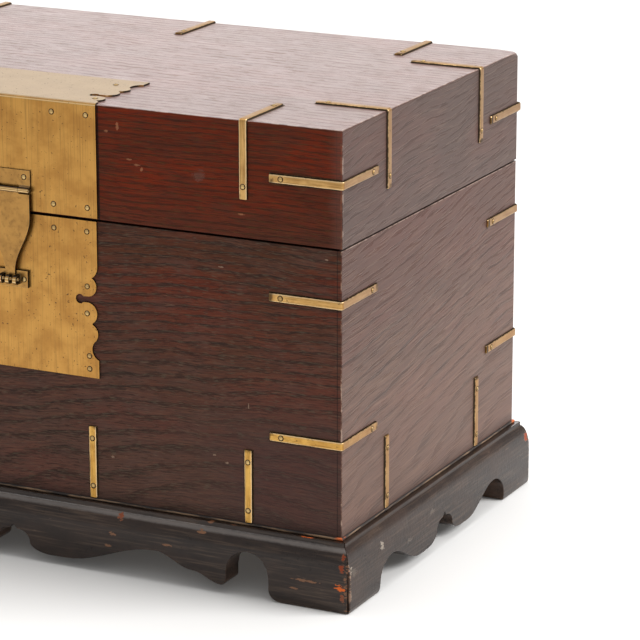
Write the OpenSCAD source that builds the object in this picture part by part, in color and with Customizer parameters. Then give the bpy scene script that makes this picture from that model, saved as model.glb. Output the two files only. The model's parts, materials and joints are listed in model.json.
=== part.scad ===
// Brass-mounted chest on a scalloped plinth.
// The front faces -Y, the origin is the middle of the footprint on the floor.

/* [Case] */
// Width of the case across the front
case_w = 728; // [600:1:900]
// Depth of the case from front to back
case_d = 423; // [360:1:560]
// Height of the case from the plinth to the lid
case_h = 290; // [250:1:400]
// Thickness of the four case boards
case_wall = 16; // [13:0.5:22]
// Thickness of the floor board
floor_t = 10; // [7:0.5:14]
// Depth of the groove that holds the floor board
groove_depth = 6; // [3:0.5:8]
// Wood left below the floor groove
groove_rise = 6; // [4:0.5:12]

/* [Lid] */
// Height of the lid
lid_h = 115; // [95:1:160]
// Thickness of the four lid side boards
lid_wall = 14; // [12:0.5:20]
// Thickness of the lid top board
lid_top_t = 14; // [12:0.5:20]
// How far the lid stands proud of the case on every side
lid_proud = 1.5; // [1:0.25:3]
// Height of the dark line cut between case and lid
shadow_gap = 2.6; // [1:0.2:3]
// Depth of the dark line cut between case and lid
shadow_depth = 5; // [3:0.5:6]
// Radius of the softened edges of case and lid
arris_r = 1.5; // [0.5:0.25:2.5]

/* [Plinth] */
// Height of the plinth with its bead
plinth_h = 73; // [66:1:90]
// How far the plinth stands out past the case
plinth_proud = 15.5; // [13:0.5:20]
// Thickness of the plinth rails
rail_t = 28; // [24:1:34]
// Height of the half-round bead under the case
bead_h = 3; // [2:0.25:5]
// How far the bead stands out past the case
bead_proud = 2.2; // [1.5:0.1:3.5]
// How far the narrow ledge reaches out past the case
ledge_w = 7; // [5:0.5:9]
// Height of the upright step below the ledge
step_h = 4.3; // [3:0.1:6]
// Height of the swelling thumb moulding below the step
swell_h = 38; // [25:1:42]
// How far the foot of the rail draws in at the floor
toe_in = 2.5; // [1:0.25:4]
// Height over which the foot of the rail draws in
toe_h = 11; // [6:0.5:13]
// Radius of the plinth's upright corners
plinth_corner_r = 5; // [2:0.5:8]
// Length of each leg of the square blocks in the plinth corners
block_w = 40; // [25:1:42]
// Space between these blocks and the floor
block_rise = 4; // [2:0.5:8]

/* [Front apron] */
// Length of the flat foot at each end of the front and back rails
foot_len = 88; // [80:1:100]
// Radius of the lower inner corner of these feet
foot_r = 13; // [6:0.5:14]
// Radius of the small round arch beside the foot
arch_r = 23.5; // [18:0.5:26]
// Height at which that round arch springs
arch_spring = 24; // [18:1:28]
// Height of the pendants above the floor
pendant_rise = 9; // [5:0.5:12]
// Radius of the outer lower corner of the pendant
pendant_r = 6; // [3:0.5:8]
// Length from the small arch to the shoulder of the pendant
shoulder_len = 38; // [32:1:46]
// Height of the pendant's shoulder above the floor
shoulder_rise = 19; // [16:0.5:22]
// Height of the long arch above the floor
long_arch_rise = 33; // [28:1:36]
// Length of the steep side of the long arch
long_arch_lead = 42; // [34:1:50]

/* [Side apron] */
// Length of the flat foot at each end of the side rails
side_foot_len = 72.5; // [70:0.5:80]
// Height of the side arch above the floor
side_arch_rise = 32; // [26:1:35]
// Length of the steep side of the side arch
side_arch_lead = 28; // [22:1:34]
// Height at which the steep side of the side arch starts
side_arch_spring = 8; // [6:0.5:12]

/* [Middle cusp] */
// Height of the pointed notch in the middle of each rail
cusp_rise = 36; // [34:1:40]
// Half the width of that notch at the pendants
cusp_half = 44; // [34:1:48]
// Height of the small point at the top of that notch
cusp_point_h = 4.5; // [2:0.5:6]
// Half the width of that small point
cusp_point_half = 4; // [2:0.5:6]
// Half the width of the notch at its shoulders
cusp_neck_half = 19; // [14:0.5:24]
// Height of these shoulders above the floor
cusp_neck_rise = 20; // [15:0.5:24]
// Length of the flat under each middle pendant
pendant_flat = 16; // [8:1:20]

/* [Brass straps] */
// Width of the brass straps
strap_w = 9; // [7:0.5:12]
// Thickness of the brass straps
strap_t = 2.2; // [1.6:0.1:3]
// Width of the bevel along both edges of a strap
strap_bevel = 1.2; // [0.6:0.1:1.4]
// Length of each arm of a bent strap
strap_arm = 77; // [60:1:90]
// Length of the straight strips at the foot of the case
strip_len = 75; // [60:1:90]
// Distance of a strap's nail from its end
nail_inset = 12.5; // [8:0.5:16]
// Distance of the edge straps from the lid's corners, front and back
edge_inset = 105; // [90:1:130]
// Distance of the edge straps from the lid's corners, left and right
side_edge_inset = 102; // [90:1:120]
// Height of the corner straps on the lid above its lower edge
lid_strap_rise = 62; // [50:1:75]
// Depth of the upper corner straps below the top of the case
upper_strap_drop = 56; // [40:1:90]
// Depth of the lower corner straps below the top of the case
lower_strap_drop = 197; // [150:1:210]
// How much lower on the lid, and higher low on the case, the rear corner straps are set
rear_strap_shift = 6; // [0:1:10]
// How much higher the upper rear corner straps of the case are set
rear_upper_shift = 2; // [0:1:6]
// Distance of the outer foot strips from the case corners
strip_inset = 101; // [90:1:130]

/* [Nails] */
// Radius of a nail head
head_r = 2.6; // [2:0.1:3.2]
// Height of a nail head
head_h = 1.3; // [0.9:0.1:1.8]
// Radius of a nail shank
shank_r = 0.9; // [0.6:0.1:1.2]
// Depth to which a nail is driven into the wood
shank_depth = 9; // [5:0.5:11]

/* [Lock plates] */
// Thickness of the two brass plates
plate_t = 1.8; // [1.2:0.1:2.4]
// Half the width of the plate on the lid
lid_plate_half = 99; // [90:0.5:110]
// Half the width of the plate on the case
lock_plate_half = 97; // [88:0.5:108]
// Height of the straight part of the case plate
lock_straight = 57; // [50:1:70]
// Straight part of the lid plate on top of the lid
lid_plate_straight = 9; // [7:0.5:14]
// Length of the square tab that ends the case plate
lock_tab = 18; // [12:1:24]
// Length of the square tab that ends the lid plate
lid_tab = 13; // [9:1:18]
// Gap between the lower edge of the lid and its plate
plate_gap = 1; // [0.5:0.25:2]

/* [Hasp] */
// Height of the hasp's pin above the lower edge of the lid
hasp_pin_rise = 22; // [18:1:30]
// Depth of the padlock eyes below the lower edge of the lid
eye_drop = 70; // [60:1:80]
// Radius of the hole through the padlock eyes
eye_r = 2.5; // [2:0.1:3]
// Thickness of each padlock eye
eye_t = 4; // [3:0.5:5]
// Thickness of the hasp
hasp_t = 2; // [1.6:0.1:2.6]
// Brass left between that hole and the blade of the hasp
eye_lead = 0.3; // [0.2:0.1:0.8]
// Half the width of the hasp at its hinge
hasp_half = 24; // [20:1:32]
// Half the width of the hasp between the fixed eyes
hasp_tip_half = 5.5; // [4.5:0.5:7]
// Free space on each side of the hasp between the fixed eyes
eye_gap = 1; // [0.6:0.1:2]

/* [Hinges] */
// Distance of each hinge from the middle of the back
hinge_x = 150; // [110:1:180]
// Width of a hinge
hinge_w = 70; // [50:1:90]
// Height of each hinge leaf
leaf_h = 34; // [26:1:40]
// Thickness of the hinge and hasp leaves
leaf_t = 1.5; // [1.2:0.1:2]
// Radius of the hinge pins
pin_r = 1.6; // [1.4:0.1:2]
// Wall of brass rolled round a pin
roll_t = 1.3; // [1:0.1:1.6]
// Running clearance between a pin and its rolled knuckles
pin_play = 0.05; // [0.02:0.01:0.1]
// End gap between neighbouring knuckles
knuckle_gap = 0.3; // [0.2:0.05:0.6]
// Gap that keeps moving brass off the fixed brass behind it
rest_gap = 0.3; // [0.2:0.05:0.5]

/* [Hidden] */

$fn = 48;
front = 0;
right = 1;
back = 2;
left = 3;

wood_tone = "#4b2a20";
lacquer_tone = "#322b28";
brass_tone = "#b8924c";
inner_tone = "#8a6a4a";

// Steps along one quarter turn of a worked outline.
quarter_steps = 8;
// Steps along one S-curve of a worked outline.
ogee_steps = 10;

half_w = case_w / 2;
half_d = case_d / 2;
lid_half_w = half_w + lid_proud;
lid_half_d = half_d + lid_proud;
rail_h = plinth_h - bead_h;
lid_z = plinth_h + case_h;
top_z = lid_z + lid_h;
floor_z = plinth_h + groove_rise;
hole_r = shank_r + pin_play;
// Small lead past a face that a cut runs through.
over = 1;
// Space between a foot strip and the bead under it.
strip_gap = 0.5;
// Distance of a nail from the edge of the leaf that it holds.
nail_edge = 7;
// Distance of a row of nails from the edge of a lock plate.
row_inset = 11;
// Knuckles in one hinge, on both leaves together.
hinge_parts = 5;
// Shares of the hasp's width: one knuckle of its leaf at each end.
hasp_parts = 4;
// Brass left round a nail in the foot of the bracket.
flange_edge = 1.5;
// Brass left above and below the eyes on the foot of the bracket.
base_edge = 4;
// Height of a leaf's root above its pin, in knuckle radii.
root_ratio = 1.6;
// Height above the eye at which the hasp's taper ends, in eye radii.
taper_ratio = 1.6;
// Depth of the cut that mitres a bent strap, in strap thicknesses.
mitre_ratio = 3;
mitre_angle = 45;

// Drawing of the pierced ornament, in distances from its edge line and from its first notch.
lock_lead_r = 13.5;
lid_lead_r = 8;
notch_in = 6.6;
lobe_start = 1;
lobe_r = 10.4;
big_lobe_r = 11.5;
first_lobe_in = 11.8;
first_lobe_at = 10;
bulb_r = 5;
bulb_in = 20.3;
bulb_at = 23.5;
bulb_from = -37;
bulb_to = -323;
second_lobe_in = 12.5;
second_lobe_at = 37.8;
third_lobe_in = 10.8;
third_lobe_at = 58.5;
neck_r = 11.7;
neck_out = 4.3;
neck_at = 74.5;
neck_from = 218;
neck_to = 110;
flare_at = 86;

knuckle_r = pin_r + roll_t;
bore_r = pin_r + pin_play;
hinge_axis_y = lid_half_d + knuckle_r + rest_gap;
hinge_axis_z = lid_z - shadow_gap / 2;
hinge_root = root_ratio * knuckle_r;
pin_cap_r = pin_r + roll_t / 2;
pin_cap_h = 1;

lock_face = half_d + plate_t;
lid_face = lid_half_d + plate_t;
hasp_axis_y = lid_face + knuckle_r + rest_gap;
hasp_axis_z = lid_z + hasp_pin_rise;
hasp_knuckle_w = hasp_half;
hasp_leaf_h = 20;
hasp_back = hasp_axis_y - hasp_t / 2;
hasp_front = hasp_axis_y + hasp_t / 2;
eye_z = lid_z - eye_drop;
eye_outer = eye_r + eye_lead + hasp_t;
eye_y = hasp_front + eye_lead + eye_r;
staple_base_t = hasp_back - rest_gap - lock_face;
ear_in = hasp_tip_half + eye_gap;
staple_flange = 2 * (head_r + flange_edge);
staple_base_w = 2 * (ear_in + eye_t + staple_flange);
staple_base_h = 2 * (eye_outer + base_edge);

staple_nails = ear_in + eye_t + staple_flange / 2;
hasp_nails = hasp_half - nail_edge;
eye_level = eye_drop - shadow_gap;

// Edge strap places: the side, and the distance along it.
front_edge = lid_half_w - edge_inset;
side_edge = lid_half_d - side_edge_inset;
edge_places = [
  [front, front_edge], [front, -front_edge],
  [right, -side_edge], [right, side_edge],
  [left, side_edge], [left, -side_edge],
  [back, -front_edge], [back, 0], [back, front_edge]];

// Places of the nails along each ornament: distance in from the edge, and past the notch.
lock_ornament_nails = [[first_lobe_in, first_lobe_at], [second_lobe_in, second_lobe_at],
  [third_lobe_in, flare_at - neck_out], [third_lobe_in, flare_at + lock_tab / 2]];
lid_ornament_nails = [[first_lobe_in, first_lobe_at], [2 * second_lobe_in, neck_at]];

// Points on an elliptical arc about a centre, by angle.
function arc(centre, radii, from, to) =
  [for (i = [0:quarter_steps])
    let (a = from + (to - from) * i / quarter_steps)
    [centre.x + radii.x * cos(a), centre.y + radii.y * sin(a)]];

// Points on an S-curve that is level at both ends.
function ogee(from, to) =
  [for (i = [0:ogee_steps])
    let (s = i / ogee_steps)
    [from.x + (to.x - from.x) * s, from.y + (to.y - from.y) * (1 - cos(180 * s)) / 2]];

function reversed(points) = [for (i = [len(points) - 1:-1:0]) points[i]];
function mirrored(points) = [for (p = reversed(points)) [-p.x, p.y]];
function side_length(side, across, deep) = side % 2 == 0 ? across : deep;
function side_reach(side, across, deep) = side % 2 == 0 ? deep / 2 : across / 2;

// Turns a piece drawn on the front to one of the four sides.
module on_side(side) {
  rotate([0, 0, side * 90]) children();
}

// Mirrors a piece made for the back right corner to the corner with these signs.
module to_corner(x, y) {
  mirror([x < 0 ? 1 : 0, 0, 0]) mirror([0, y < 0 ? 1 : 0, 0]) children();
}

// Runs a section drawn in depth and height along the X axis.
module along_x(length) {
  rotate([90, 0, 90]) linear_extrude(length, center = true) children();
}

// Plan of a mitred board whose outer face lies on the line y = 0.
module mitre_plan(length, thick, edge_r) {
  corner = arc([length / 2 - edge_r, edge_r], [edge_r, edge_r], -90, -mitre_angle);
  polygon(concat(
    corner,
    [[length / 2 - thick, thick], [thick - length / 2, thick]],
    mirrored(corner)));
}

// Plan of a board frame with softened corners.
module frame_plan(across, deep, edge_r) {
  quarter = arc([across / 2 - edge_r, deep / 2 - edge_r], [edge_r, edge_r], 0, 90);
  upper = concat(quarter, mirrored(quarter));
  polygon(concat(upper, [for (p = upper) [-p.x, -p.y]]));
}

// Section of a rail: outer distance from the case face against height.
module rail_section() {
  swell_top = rail_h - step_h;
  polygon(concat(
    [[plinth_proud - rail_t, 0]],
    arc([plinth_proud - toe_in, toe_h], [toe_in, toe_h], -90, 0),
    arc([ledge_w, swell_top - swell_h], [plinth_proud - ledge_w, swell_h], 0, 90),
    [[ledge_w, rail_h], [plinth_proud - rail_t, rail_h]]));
}

// Right half of the space cut out under a front rail, from the middle outwards.
function front_cut(half) =
  let (
    foot = half - foot_len,
    pendant_side = foot - 2 * arch_r,
    shoulder = pendant_side - shoulder_len,
    long_top = shoulder - long_arch_lead)
  concat(
    cusp_cut(),
    ogee([cusp_half + pendant_flat, pendant_rise], [long_top, long_arch_rise]),
    ogee([long_top, long_arch_rise], [shoulder, shoulder_rise]),
    ogee([shoulder, shoulder_rise], [pendant_side - pendant_r, pendant_rise]),
    arc([pendant_side - pendant_r, pendant_rise + pendant_r], [pendant_r, pendant_r], -90, 0),
    arc([foot - arch_r, arch_spring], [arch_r, arch_r], 180, 0),
    arc([foot + foot_r, foot_r], [foot_r, foot_r], 180, 270));

// Right half of the space cut out under a side rail, from the middle outwards.
function side_cut(half) =
  let (
    foot = half - side_foot_len,
    arch_top = foot - side_arch_lead,
    toe_r = side_arch_spring / 2)
  concat(
    cusp_cut(),
    ogee([cusp_half + pendant_flat, pendant_rise], [arch_top, side_arch_rise]),
    arc([arch_top, side_arch_spring],
      [side_arch_lead, side_arch_rise - side_arch_spring], 90, 0),
    arc([foot + toe_r, toe_r], [toe_r, toe_r], 180, 270));

// Right half of the pointed notch: its point, its round shoulder, and the hollow to the pendant.
function cusp_cut() =
  let (shoulder_rise = cusp_rise - cusp_point_h)
  concat(
    [[0, cusp_rise]],
    arc([cusp_point_half, cusp_neck_rise],
      [cusp_neck_half - cusp_point_half, shoulder_rise - cusp_neck_rise], 90, 0),
    arc([cusp_half, cusp_neck_rise],
      [cusp_half - cusp_neck_half, cusp_neck_rise - pendant_rise], 180, 270));

// Everything below this outline is cut away from a rail.
module apron_cut(side, half) {
  cut = side % 2 == 0 ? front_cut(half) : side_cut(half);
  edge = cut[len(cut) - 1].x;
  polygon(concat(
    [[-edge, -over], [edge, -over]],
    reversed(cut),
    [for (p = cut) if (p.x > 0) [-p.x, p.y]]));
}

// One moulded, mitred and scalloped plinth rail.
module rail(side) {
  length = side_length(side, case_w, case_d) + 2 * plinth_proud;
  reach = side_reach(side, case_w, case_d);
  color(lacquer_tone) on_side(side) difference() {
    intersection() {
      translate([0, -reach, 0]) mirror([0, 1, 0]) along_x(length) rail_section();
      translate([0, -reach - plinth_proud, 0]) linear_extrude(rail_h)
        mitre_plan(length, rail_t, plinth_corner_r);
    }
    translate([0, -reach, 0]) rotate([90, 0, 0])
      linear_extrude(4 * rail_t, center = true) apron_cut(side, length / 2);
  }
}

module plinth_corner_blocks() {
  inner_w = half_w + plinth_proud - rail_t;
  inner_d = half_d + plinth_proud - rail_t;
  color(inner_tone)
    for (x = [-1, 1], y = [-1, 1])
      to_corner(x, y) translate([inner_w - block_w, inner_d - block_w, block_rise])
        cube([block_w, block_w, rail_h - block_rise]);
}

// One mitred strip of the half-round bead that the case stands on.
module bead_strip(side) {
  length = side_length(side, case_w, case_d) + 2 * bead_proud;
  reach = side_reach(side, case_w, case_d);
  nose = bead_h / 2;
  inner = plinth_proud - rail_t;
  color(lacquer_tone) on_side(side) intersection() {
    translate([0, -reach, rail_h]) mirror([0, 1, 0]) along_x(length)
      polygon(concat(
        [[inner, 0]],
        arc([bead_proud - nose, nose], [nose, nose], -90, 90),
        [[inner, bead_h]]));
    translate([0, -reach - bead_proud, rail_h]) linear_extrude(bead_h)
      mitre_plan(length, bead_proud - inner, arris_r / 2);
  }
}

// One mitred case board with its floor groove and its shadow rebate.
module case_board(side) {
  length = side_length(side, case_w, case_d);
  reach = side_reach(side, case_w, case_d);
  color(wood_tone) difference() {
    on_side(side) translate([0, -reach, plinth_h]) linear_extrude(case_h)
      mitre_plan(length, case_wall, arris_r);
    floor_blank();
    difference() {
      translate([0, 0, lid_z - shadow_gap]) linear_extrude(shadow_gap + over)
        square([case_w + 2 * over, case_d + 2 * over], center = true);
      translate([0, 0, lid_z - shadow_gap - over]) linear_extrude(shadow_gap + 3 * over)
        square([case_w - 2 * shadow_depth, case_d - 2 * shadow_depth], center = true);
    }
  }
}

module floor_blank() {
  edge = 2 * (case_wall - groove_depth);
  translate([0, 0, floor_z]) linear_extrude(floor_t)
    square([case_w - edge, case_d - edge], center = true);
}

module case_floor_board() {
  color(inner_tone) floor_blank();
}

// Section of a lid board: depth from its outer face against height.
module lid_board_section() {
  crown = arc([arris_r, lid_h - arris_r], [arris_r, arris_r], 180, 180 - mitre_angle);
  polygon(concat(
    [[0, 0]],
    crown,
    [[lid_top_t, lid_h - lid_top_t], [lid_wall, lid_h - lid_top_t], [lid_wall, 0]]));
}

// One mitred lid side board, mitred to the top board as well.
module lid_board(side) {
  length = side_length(side, 2 * lid_half_w, 2 * lid_half_d);
  reach = side_reach(side, 2 * lid_half_w, 2 * lid_half_d);
  color(wood_tone) on_side(side) translate([0, -reach, lid_z]) intersection() {
    along_x(length) lid_board_section();
    linear_extrude(lid_h) mitre_plan(length, max(lid_wall, lid_top_t), arris_r);
  }
}

// Section of the top board across one direction of the lid.
module top_board_section(length) {
  low = lid_h - lid_top_t;
  crown = arc([length / 2 - arris_r, lid_h - arris_r], [arris_r, arris_r], mitre_angle, 90);
  polygon(concat(
    [[lid_top_t - length / 2, low], [length / 2 - lid_top_t, low]],
    crown,
    mirrored(crown)));
}

module lid_top_board() {
  color(wood_tone) translate([0, 0, lid_z]) intersection() {
    along_x(2 * lid_half_w) top_board_section(2 * lid_half_d);
    rotate([0, 0, 90]) along_x(2 * lid_half_d) top_board_section(2 * lid_half_w);
    linear_extrude(lid_h) frame_plan(2 * lid_half_w, 2 * lid_half_d, arris_r);
  }
}

// Section of a strap across its width, lying on the line y = 0.
module strap_section() {
  polygon([
    [-strap_w / 2, 0], [strap_w / 2, 0],
    [strap_w / 2, strap_t - strap_bevel],
    [strap_w / 2 - strap_bevel, strap_t],
    [strap_bevel - strap_w / 2, strap_t],
    [-strap_w / 2, strap_t - strap_bevel]]);
}

// Hole for a nail through brass that lies on the plane z = 0.
module nail_hole(thick) {
  translate([0, 0, -over]) cylinder(h = thick + 2 * over, r = hole_r);
}

// Domed nail driven through brass of this thickness that lies on z = 0.
module nail(thick) {
  dome_r = (head_r * head_r + head_h * head_h) / (2 * head_h);
  intersection() {
    translate([0, 0, thick + head_h - dome_r]) sphere(dome_r);
    translate([0, 0, thick]) cylinder(h = dome_r, r = head_r + over);
  }
  translate([0, 0, -shank_depth]) cylinder(h = shank_depth + thick + head_h / 2, r = shank_r);
}

// Flat strap along +X from the origin, lying on the plane z = 0.
module strip(length) {
  rotate([90, 0, 90]) linear_extrude(length) strap_section();
}

// One arm of a bent strap, cut to the mitre at the bend.
module bent_arm() {
  mitre = mitre_ratio * strap_t;
  difference() {
    translate([-strap_t, 0, 0]) strip(strap_arm + strap_t);
    rotate([90, 0, 0]) linear_extrude(2 * strap_w, center = true)
      polygon([[0, 0], [-mitre, mitre], [-2 * mitre, mitre], [-2 * mitre, -over], [-over, -over]]);
    at_arm_nail() nail_hole(strap_t);
  }
}

// Puts a piece on each arm of a bent strap: +X on z = 0 and -Z on x = 0.
module on_both_arms() {
  children();
  mirror([1, 0, 1]) children();
}

module at_arm_nail() {
  translate([strap_arm - nail_inset, 0, 0]) children();
}

module bent_strap() {
  color(brass_tone) on_both_arms() bent_arm();
}

module bent_strap_nails() {
  on_both_arms() at_arm_nail() nail(strap_t);
}

module at_strip_nails() {
  for (x = [nail_inset, strip_len - nail_inset]) translate([x, 0, 0]) children();
}

// Puts a bent strap round an upright corner with the given half sizes.
module round_corner(x, y, reach_x, reach_y, z) {
  to_corner(x, y) translate([reach_x, reach_y, z]) rotate([90, 0, 180]) children();
}

module at_case_corner(x, y, drop) {
  shift = drop == upper_strap_drop ? rear_upper_shift : rear_strap_shift;
  round_corner(x, y, half_w, half_d, lid_z - drop + (y > 0 ? shift : 0)) children();
}

module at_lid_corner(x, y) {
  shift = y > 0 ? -rear_strap_shift : 0;
  round_corner(x, y, lid_half_w, lid_half_d, lid_z + lid_strap_rise + shift) children();
}

// Puts a bent strap over the lid's top edge, this far along one side.
module over_edge(side, along) {
  reach = side_reach(side, 2 * lid_half_w, 2 * lid_half_d);
  on_side(side) translate([along, -reach, top_z]) rotate([0, 0, 90]) children();
}

// Puts a strip upright on the foot of the case, this far along one side.
module at_foot(side, along) {
  reach = side_reach(side, case_w, case_d);
  on_side(side) translate([along, -reach, plinth_h + strip_gap])
    rotate([90, 0, 0]) rotate([0, 0, 90]) children();
}

// Puts a strip at each of the places of one side.
module at_feet(side) {
  half = side_length(side, case_w, case_d) / 2;
  count = side % 2 == 0 ? 4 : 2;
  pitch = 2 * (half - strip_inset) / (count - 1);
  for (i = [0:count - 1]) at_foot(side, strip_inset - half + i * pitch) children();
}

module foot_strips(side) {
  color(brass_tone) at_feet(side) difference() {
    strip(strip_len);
    at_strip_nails() nail_hole(strap_t);
  }
}

module edge_strap(number) {
  over_edge(edge_places[number][0], edge_places[number][1]) bent_strap();
}

// Right edge of the pierced ornament, from the rounded lead before its first notch to its tab.
function ornament_edge(half, notch, lead, tab) =
  let (turn = acos((lead - notch_in) / lead))
  concat(
    arc([half - lead, notch + lobe_start - lead * sin(turn)], [lead, lead], 0, turn),
    arc([half - first_lobe_in, notch + first_lobe_at], [lobe_r, lobe_r], -50, 80),
    arc([half - bulb_in, notch + bulb_at], [bulb_r, bulb_r], bulb_from, bulb_to),
    arc([half - second_lobe_in, notch + second_lobe_at], [big_lobe_r, big_lobe_r], -78, 60),
    arc([half - third_lobe_in, notch + third_lobe_at], [lobe_r, lobe_r], -66, 56),
    arc([half + neck_out, notch + neck_at], [neck_r, neck_r], neck_from, neck_to),
    [[half, notch + flare_at], [half, notch + flare_at + tab]]);

module at_ornament_nails(half, notch, places) {
  for (side = [-1, 1], p = places) translate([side * (half - p.x), notch + p.y, 0]) children();
}

// Puts a piece at each nail of the straight rows of a plate.
module at_row_nails(half, rows) {
  outer = half - row_inset;
  for (row = rows, x = [-outer, -half / 2, half / 2, outer]) translate([x, row, 0]) children();
}

// Puts a plate drawn downwards onto the front of the case.
module on_case_front() {
  translate([0, -half_d, lid_z - shadow_gap]) rotate([-90, 0, 0]) mirror([0, 0, 1]) children();
}

// Puts a plate drawn upwards from the lid's lower edge onto its front.
module on_lid_front() {
  translate([0, -lid_half_d, lid_z]) rotate([90, 0, 0]) children();
}

// Puts a plate drawn backwards from the front edge onto the lid.
module on_lid_top() {
  translate([0, -lid_half_d, top_z]) children();
}

module at_lock_plate_nails() {
  on_case_front() {
    at_ornament_nails(lock_plate_half, lock_straight, lock_ornament_nails) children();
    at_row_nails(lock_plate_half, [row_inset]) children();
  }
}

module at_staple_nails() {
  on_case_front() for (x = [-staple_nails, staple_nails]) translate([x, eye_level, 0]) children();
}

module at_lid_plate_nails() {
  on_lid_front() at_row_nails(lid_plate_half, [row_inset, lid_h - row_inset]) children();
  on_lid_top() at_ornament_nails(lid_plate_half, lid_plate_straight, lid_ornament_nails) children();
}

module at_hasp_leaf_nails() {
  on_lid_front() for (x = [-hasp_nails, hasp_nails])
    translate([x, hasp_pin_rise + hasp_leaf_h - nail_edge, 0]) children();
}

module lock_plate() {
  edge = ornament_edge(lock_plate_half, lock_straight, lock_lead_r, lock_tab);
  color(brass_tone) difference() {
    on_case_front() linear_extrude(plate_t)
      polygon(concat([[-lock_plate_half, 0], [lock_plate_half, 0]], edge, mirrored(edge)));
    at_lock_plate_nails() nail_hole(plate_t);
    at_staple_nails() nail_hole(plate_t);
  }
}

// Section of the lid plate over the lid's front edge, in depth and height from that edge.
module bent_plate_section() {
  outer_r = arris_r + plate_t;
  bend = [arris_r, -arris_r];
  polygon(concat(
    [[-plate_t, plate_gap - lid_h]],
    arc(bend, [outer_r, outer_r], 180, 90),
    [[2 * arris_r, plate_t], [2 * arris_r, 0]],
    arc(bend, [arris_r, arris_r], 90, 180),
    [[0, plate_gap - lid_h]]));
}

module lid_plate() {
  edge = ornament_edge(lid_plate_half, lid_plate_straight, lid_lead_r, lid_tab);
  color(brass_tone) difference() {
    on_lid_top() {
      along_x(2 * lid_plate_half) bent_plate_section();
      linear_extrude(plate_t)
        polygon(concat([[-lid_plate_half, arris_r], [lid_plate_half, arris_r]], edge, mirrored(edge)));
    }
    at_lid_plate_nails() nail_hole(plate_t);
    at_hasp_leaf_nails() nail_hole(plate_t);
  }
}

// Bracket with the two fixed padlock eyes, lying on the case plate.
module lock_staple() {
  color(brass_tone) difference() {
    union() {
      translate([-staple_base_w / 2, -lock_face - staple_base_t, eye_z - staple_base_h / 2])
        cube([staple_base_w, staple_base_t, staple_base_h]);
      for (side = [-1, 1]) translate([side * (ear_in + eye_t / 2), -eye_y, eye_z]) {
        rotate([0, 90, 0]) cylinder(h = eye_t, r = eye_outer, center = true);
        translate([-eye_t / 2, 0, -eye_outer]) cube([eye_t, eye_y - lock_face, 2 * eye_outer]);
      }
    }
    eye_bore();
    at_staple_nails() nail_hole(plate_t + staple_base_t);
  }
}

// The one straight hole that a padlock's shackle takes through all three eyes.
module eye_bore() {
  translate([0, -eye_y, eye_z]) rotate([0, 90, 0])
    cylinder(h = staple_base_w + 2 * over, r = eye_r, center = true);
}

// Rolled knuckle round the X axis, with the web up to its leaf's face.
module knuckle(face, width) {
  difference() {
    union() {
      rotate([0, 90, 0]) cylinder(h = width, r = knuckle_r, center = true);
      along_x(width) polygon([
        [face, hinge_root], [face + leaf_t, hinge_root], [0, knuckle_r], [-knuckle_r, 0]]);
    }
    rotate([0, 90, 0]) cylinder(h = width + 2 * over, r = bore_r, center = true);
  }
}

// Leaf standing up from the X axis, its face this far behind the axis.
module rolled_leaf(face, width, height, parts, own) {
  pitch = width / parts;
  difference() {
    translate([-width / 2, face, hinge_root]) cube([width, leaf_t, height - hinge_root]);
    at_leaf_nails(width, height) translate([0, face, 0]) rotate([-90, 0, 0]) nail_hole(leaf_t);
  }
  for (i = own) translate([(i + 0.5) * pitch - width / 2, 0, 0]) knuckle(face, pitch - knuckle_gap);
}

module at_leaf_nails(width, height) {
  for (x = [nail_edge - width / 2, width / 2 - nail_edge]) translate([x, 0, height - nail_edge]) children();
}

// Puts a leaf that stands up from its axis at one of the two hinges.
module at_hinge(side) {
  translate([side * hinge_x, hinge_axis_y, hinge_axis_z]) children();
}

module case_hinge_leaf(side) {
  color(brass_tone) at_hinge(side) mirror([0, 0, 1])
    rolled_leaf(half_d - hinge_axis_y, hinge_w, leaf_h, hinge_parts, [0:2:hinge_parts - 1]);
}

module lid_hinge_leaf(side) {
  color(brass_tone) at_hinge(side)
    rolled_leaf(lid_half_d - hinge_axis_y, hinge_w, leaf_h, hinge_parts, [1:2:hinge_parts - 1]);
}

// Pin along the X axis with a peened head at both ends.
module headed_pin(length) {
  rotate([0, 90, 0]) cylinder(h = length + 2 * pin_cap_h, r = pin_r, center = true);
  for (side = [-1, 1]) translate([side * (length + pin_cap_h) / 2, 0, 0])
    rotate([0, 90, 0]) cylinder(h = pin_cap_h, r = pin_cap_r, center = true);
}

module hinge_pin(side) {
  color(brass_tone) at_hinge(side) headed_pin(hinge_w);
}

// Puts a piece made round the X axis, facing back, at the hasp's pin.
module at_hasp_pin() {
  translate([0, -hasp_axis_y, hasp_axis_z]) rotate([0, 0, 180]) children();
}

module hasp_leaf() {
  color(brass_tone) at_hasp_pin()
    rolled_leaf(lid_face - hasp_axis_y, 2 * hasp_half, hasp_leaf_h, hasp_parts,
      [0, hasp_parts - 1]);
}

module hasp_pin() {
  color(brass_tone) at_hasp_pin() headed_pin(2 * hasp_half);
}

// Outline of the hasp below its knuckle, half of it, downwards from the pin.
function hasp_edge() =
  let (
    drop = hasp_axis_z - eye_z,
    root = knuckle_r + 3 * rest_gap,
    taper = ogee([root + hasp_half, hasp_half], [drop - taper_ratio * eye_outer, hasp_tip_half]))
  concat(
    [[hasp_knuckle_w / 2, 0], [hasp_knuckle_w / 2, root], [hasp_half, root]],
    [for (p = taper) [p.y, p.x]],
    arc([0, drop], [hasp_tip_half, hasp_tip_half], 0, 90));

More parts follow.
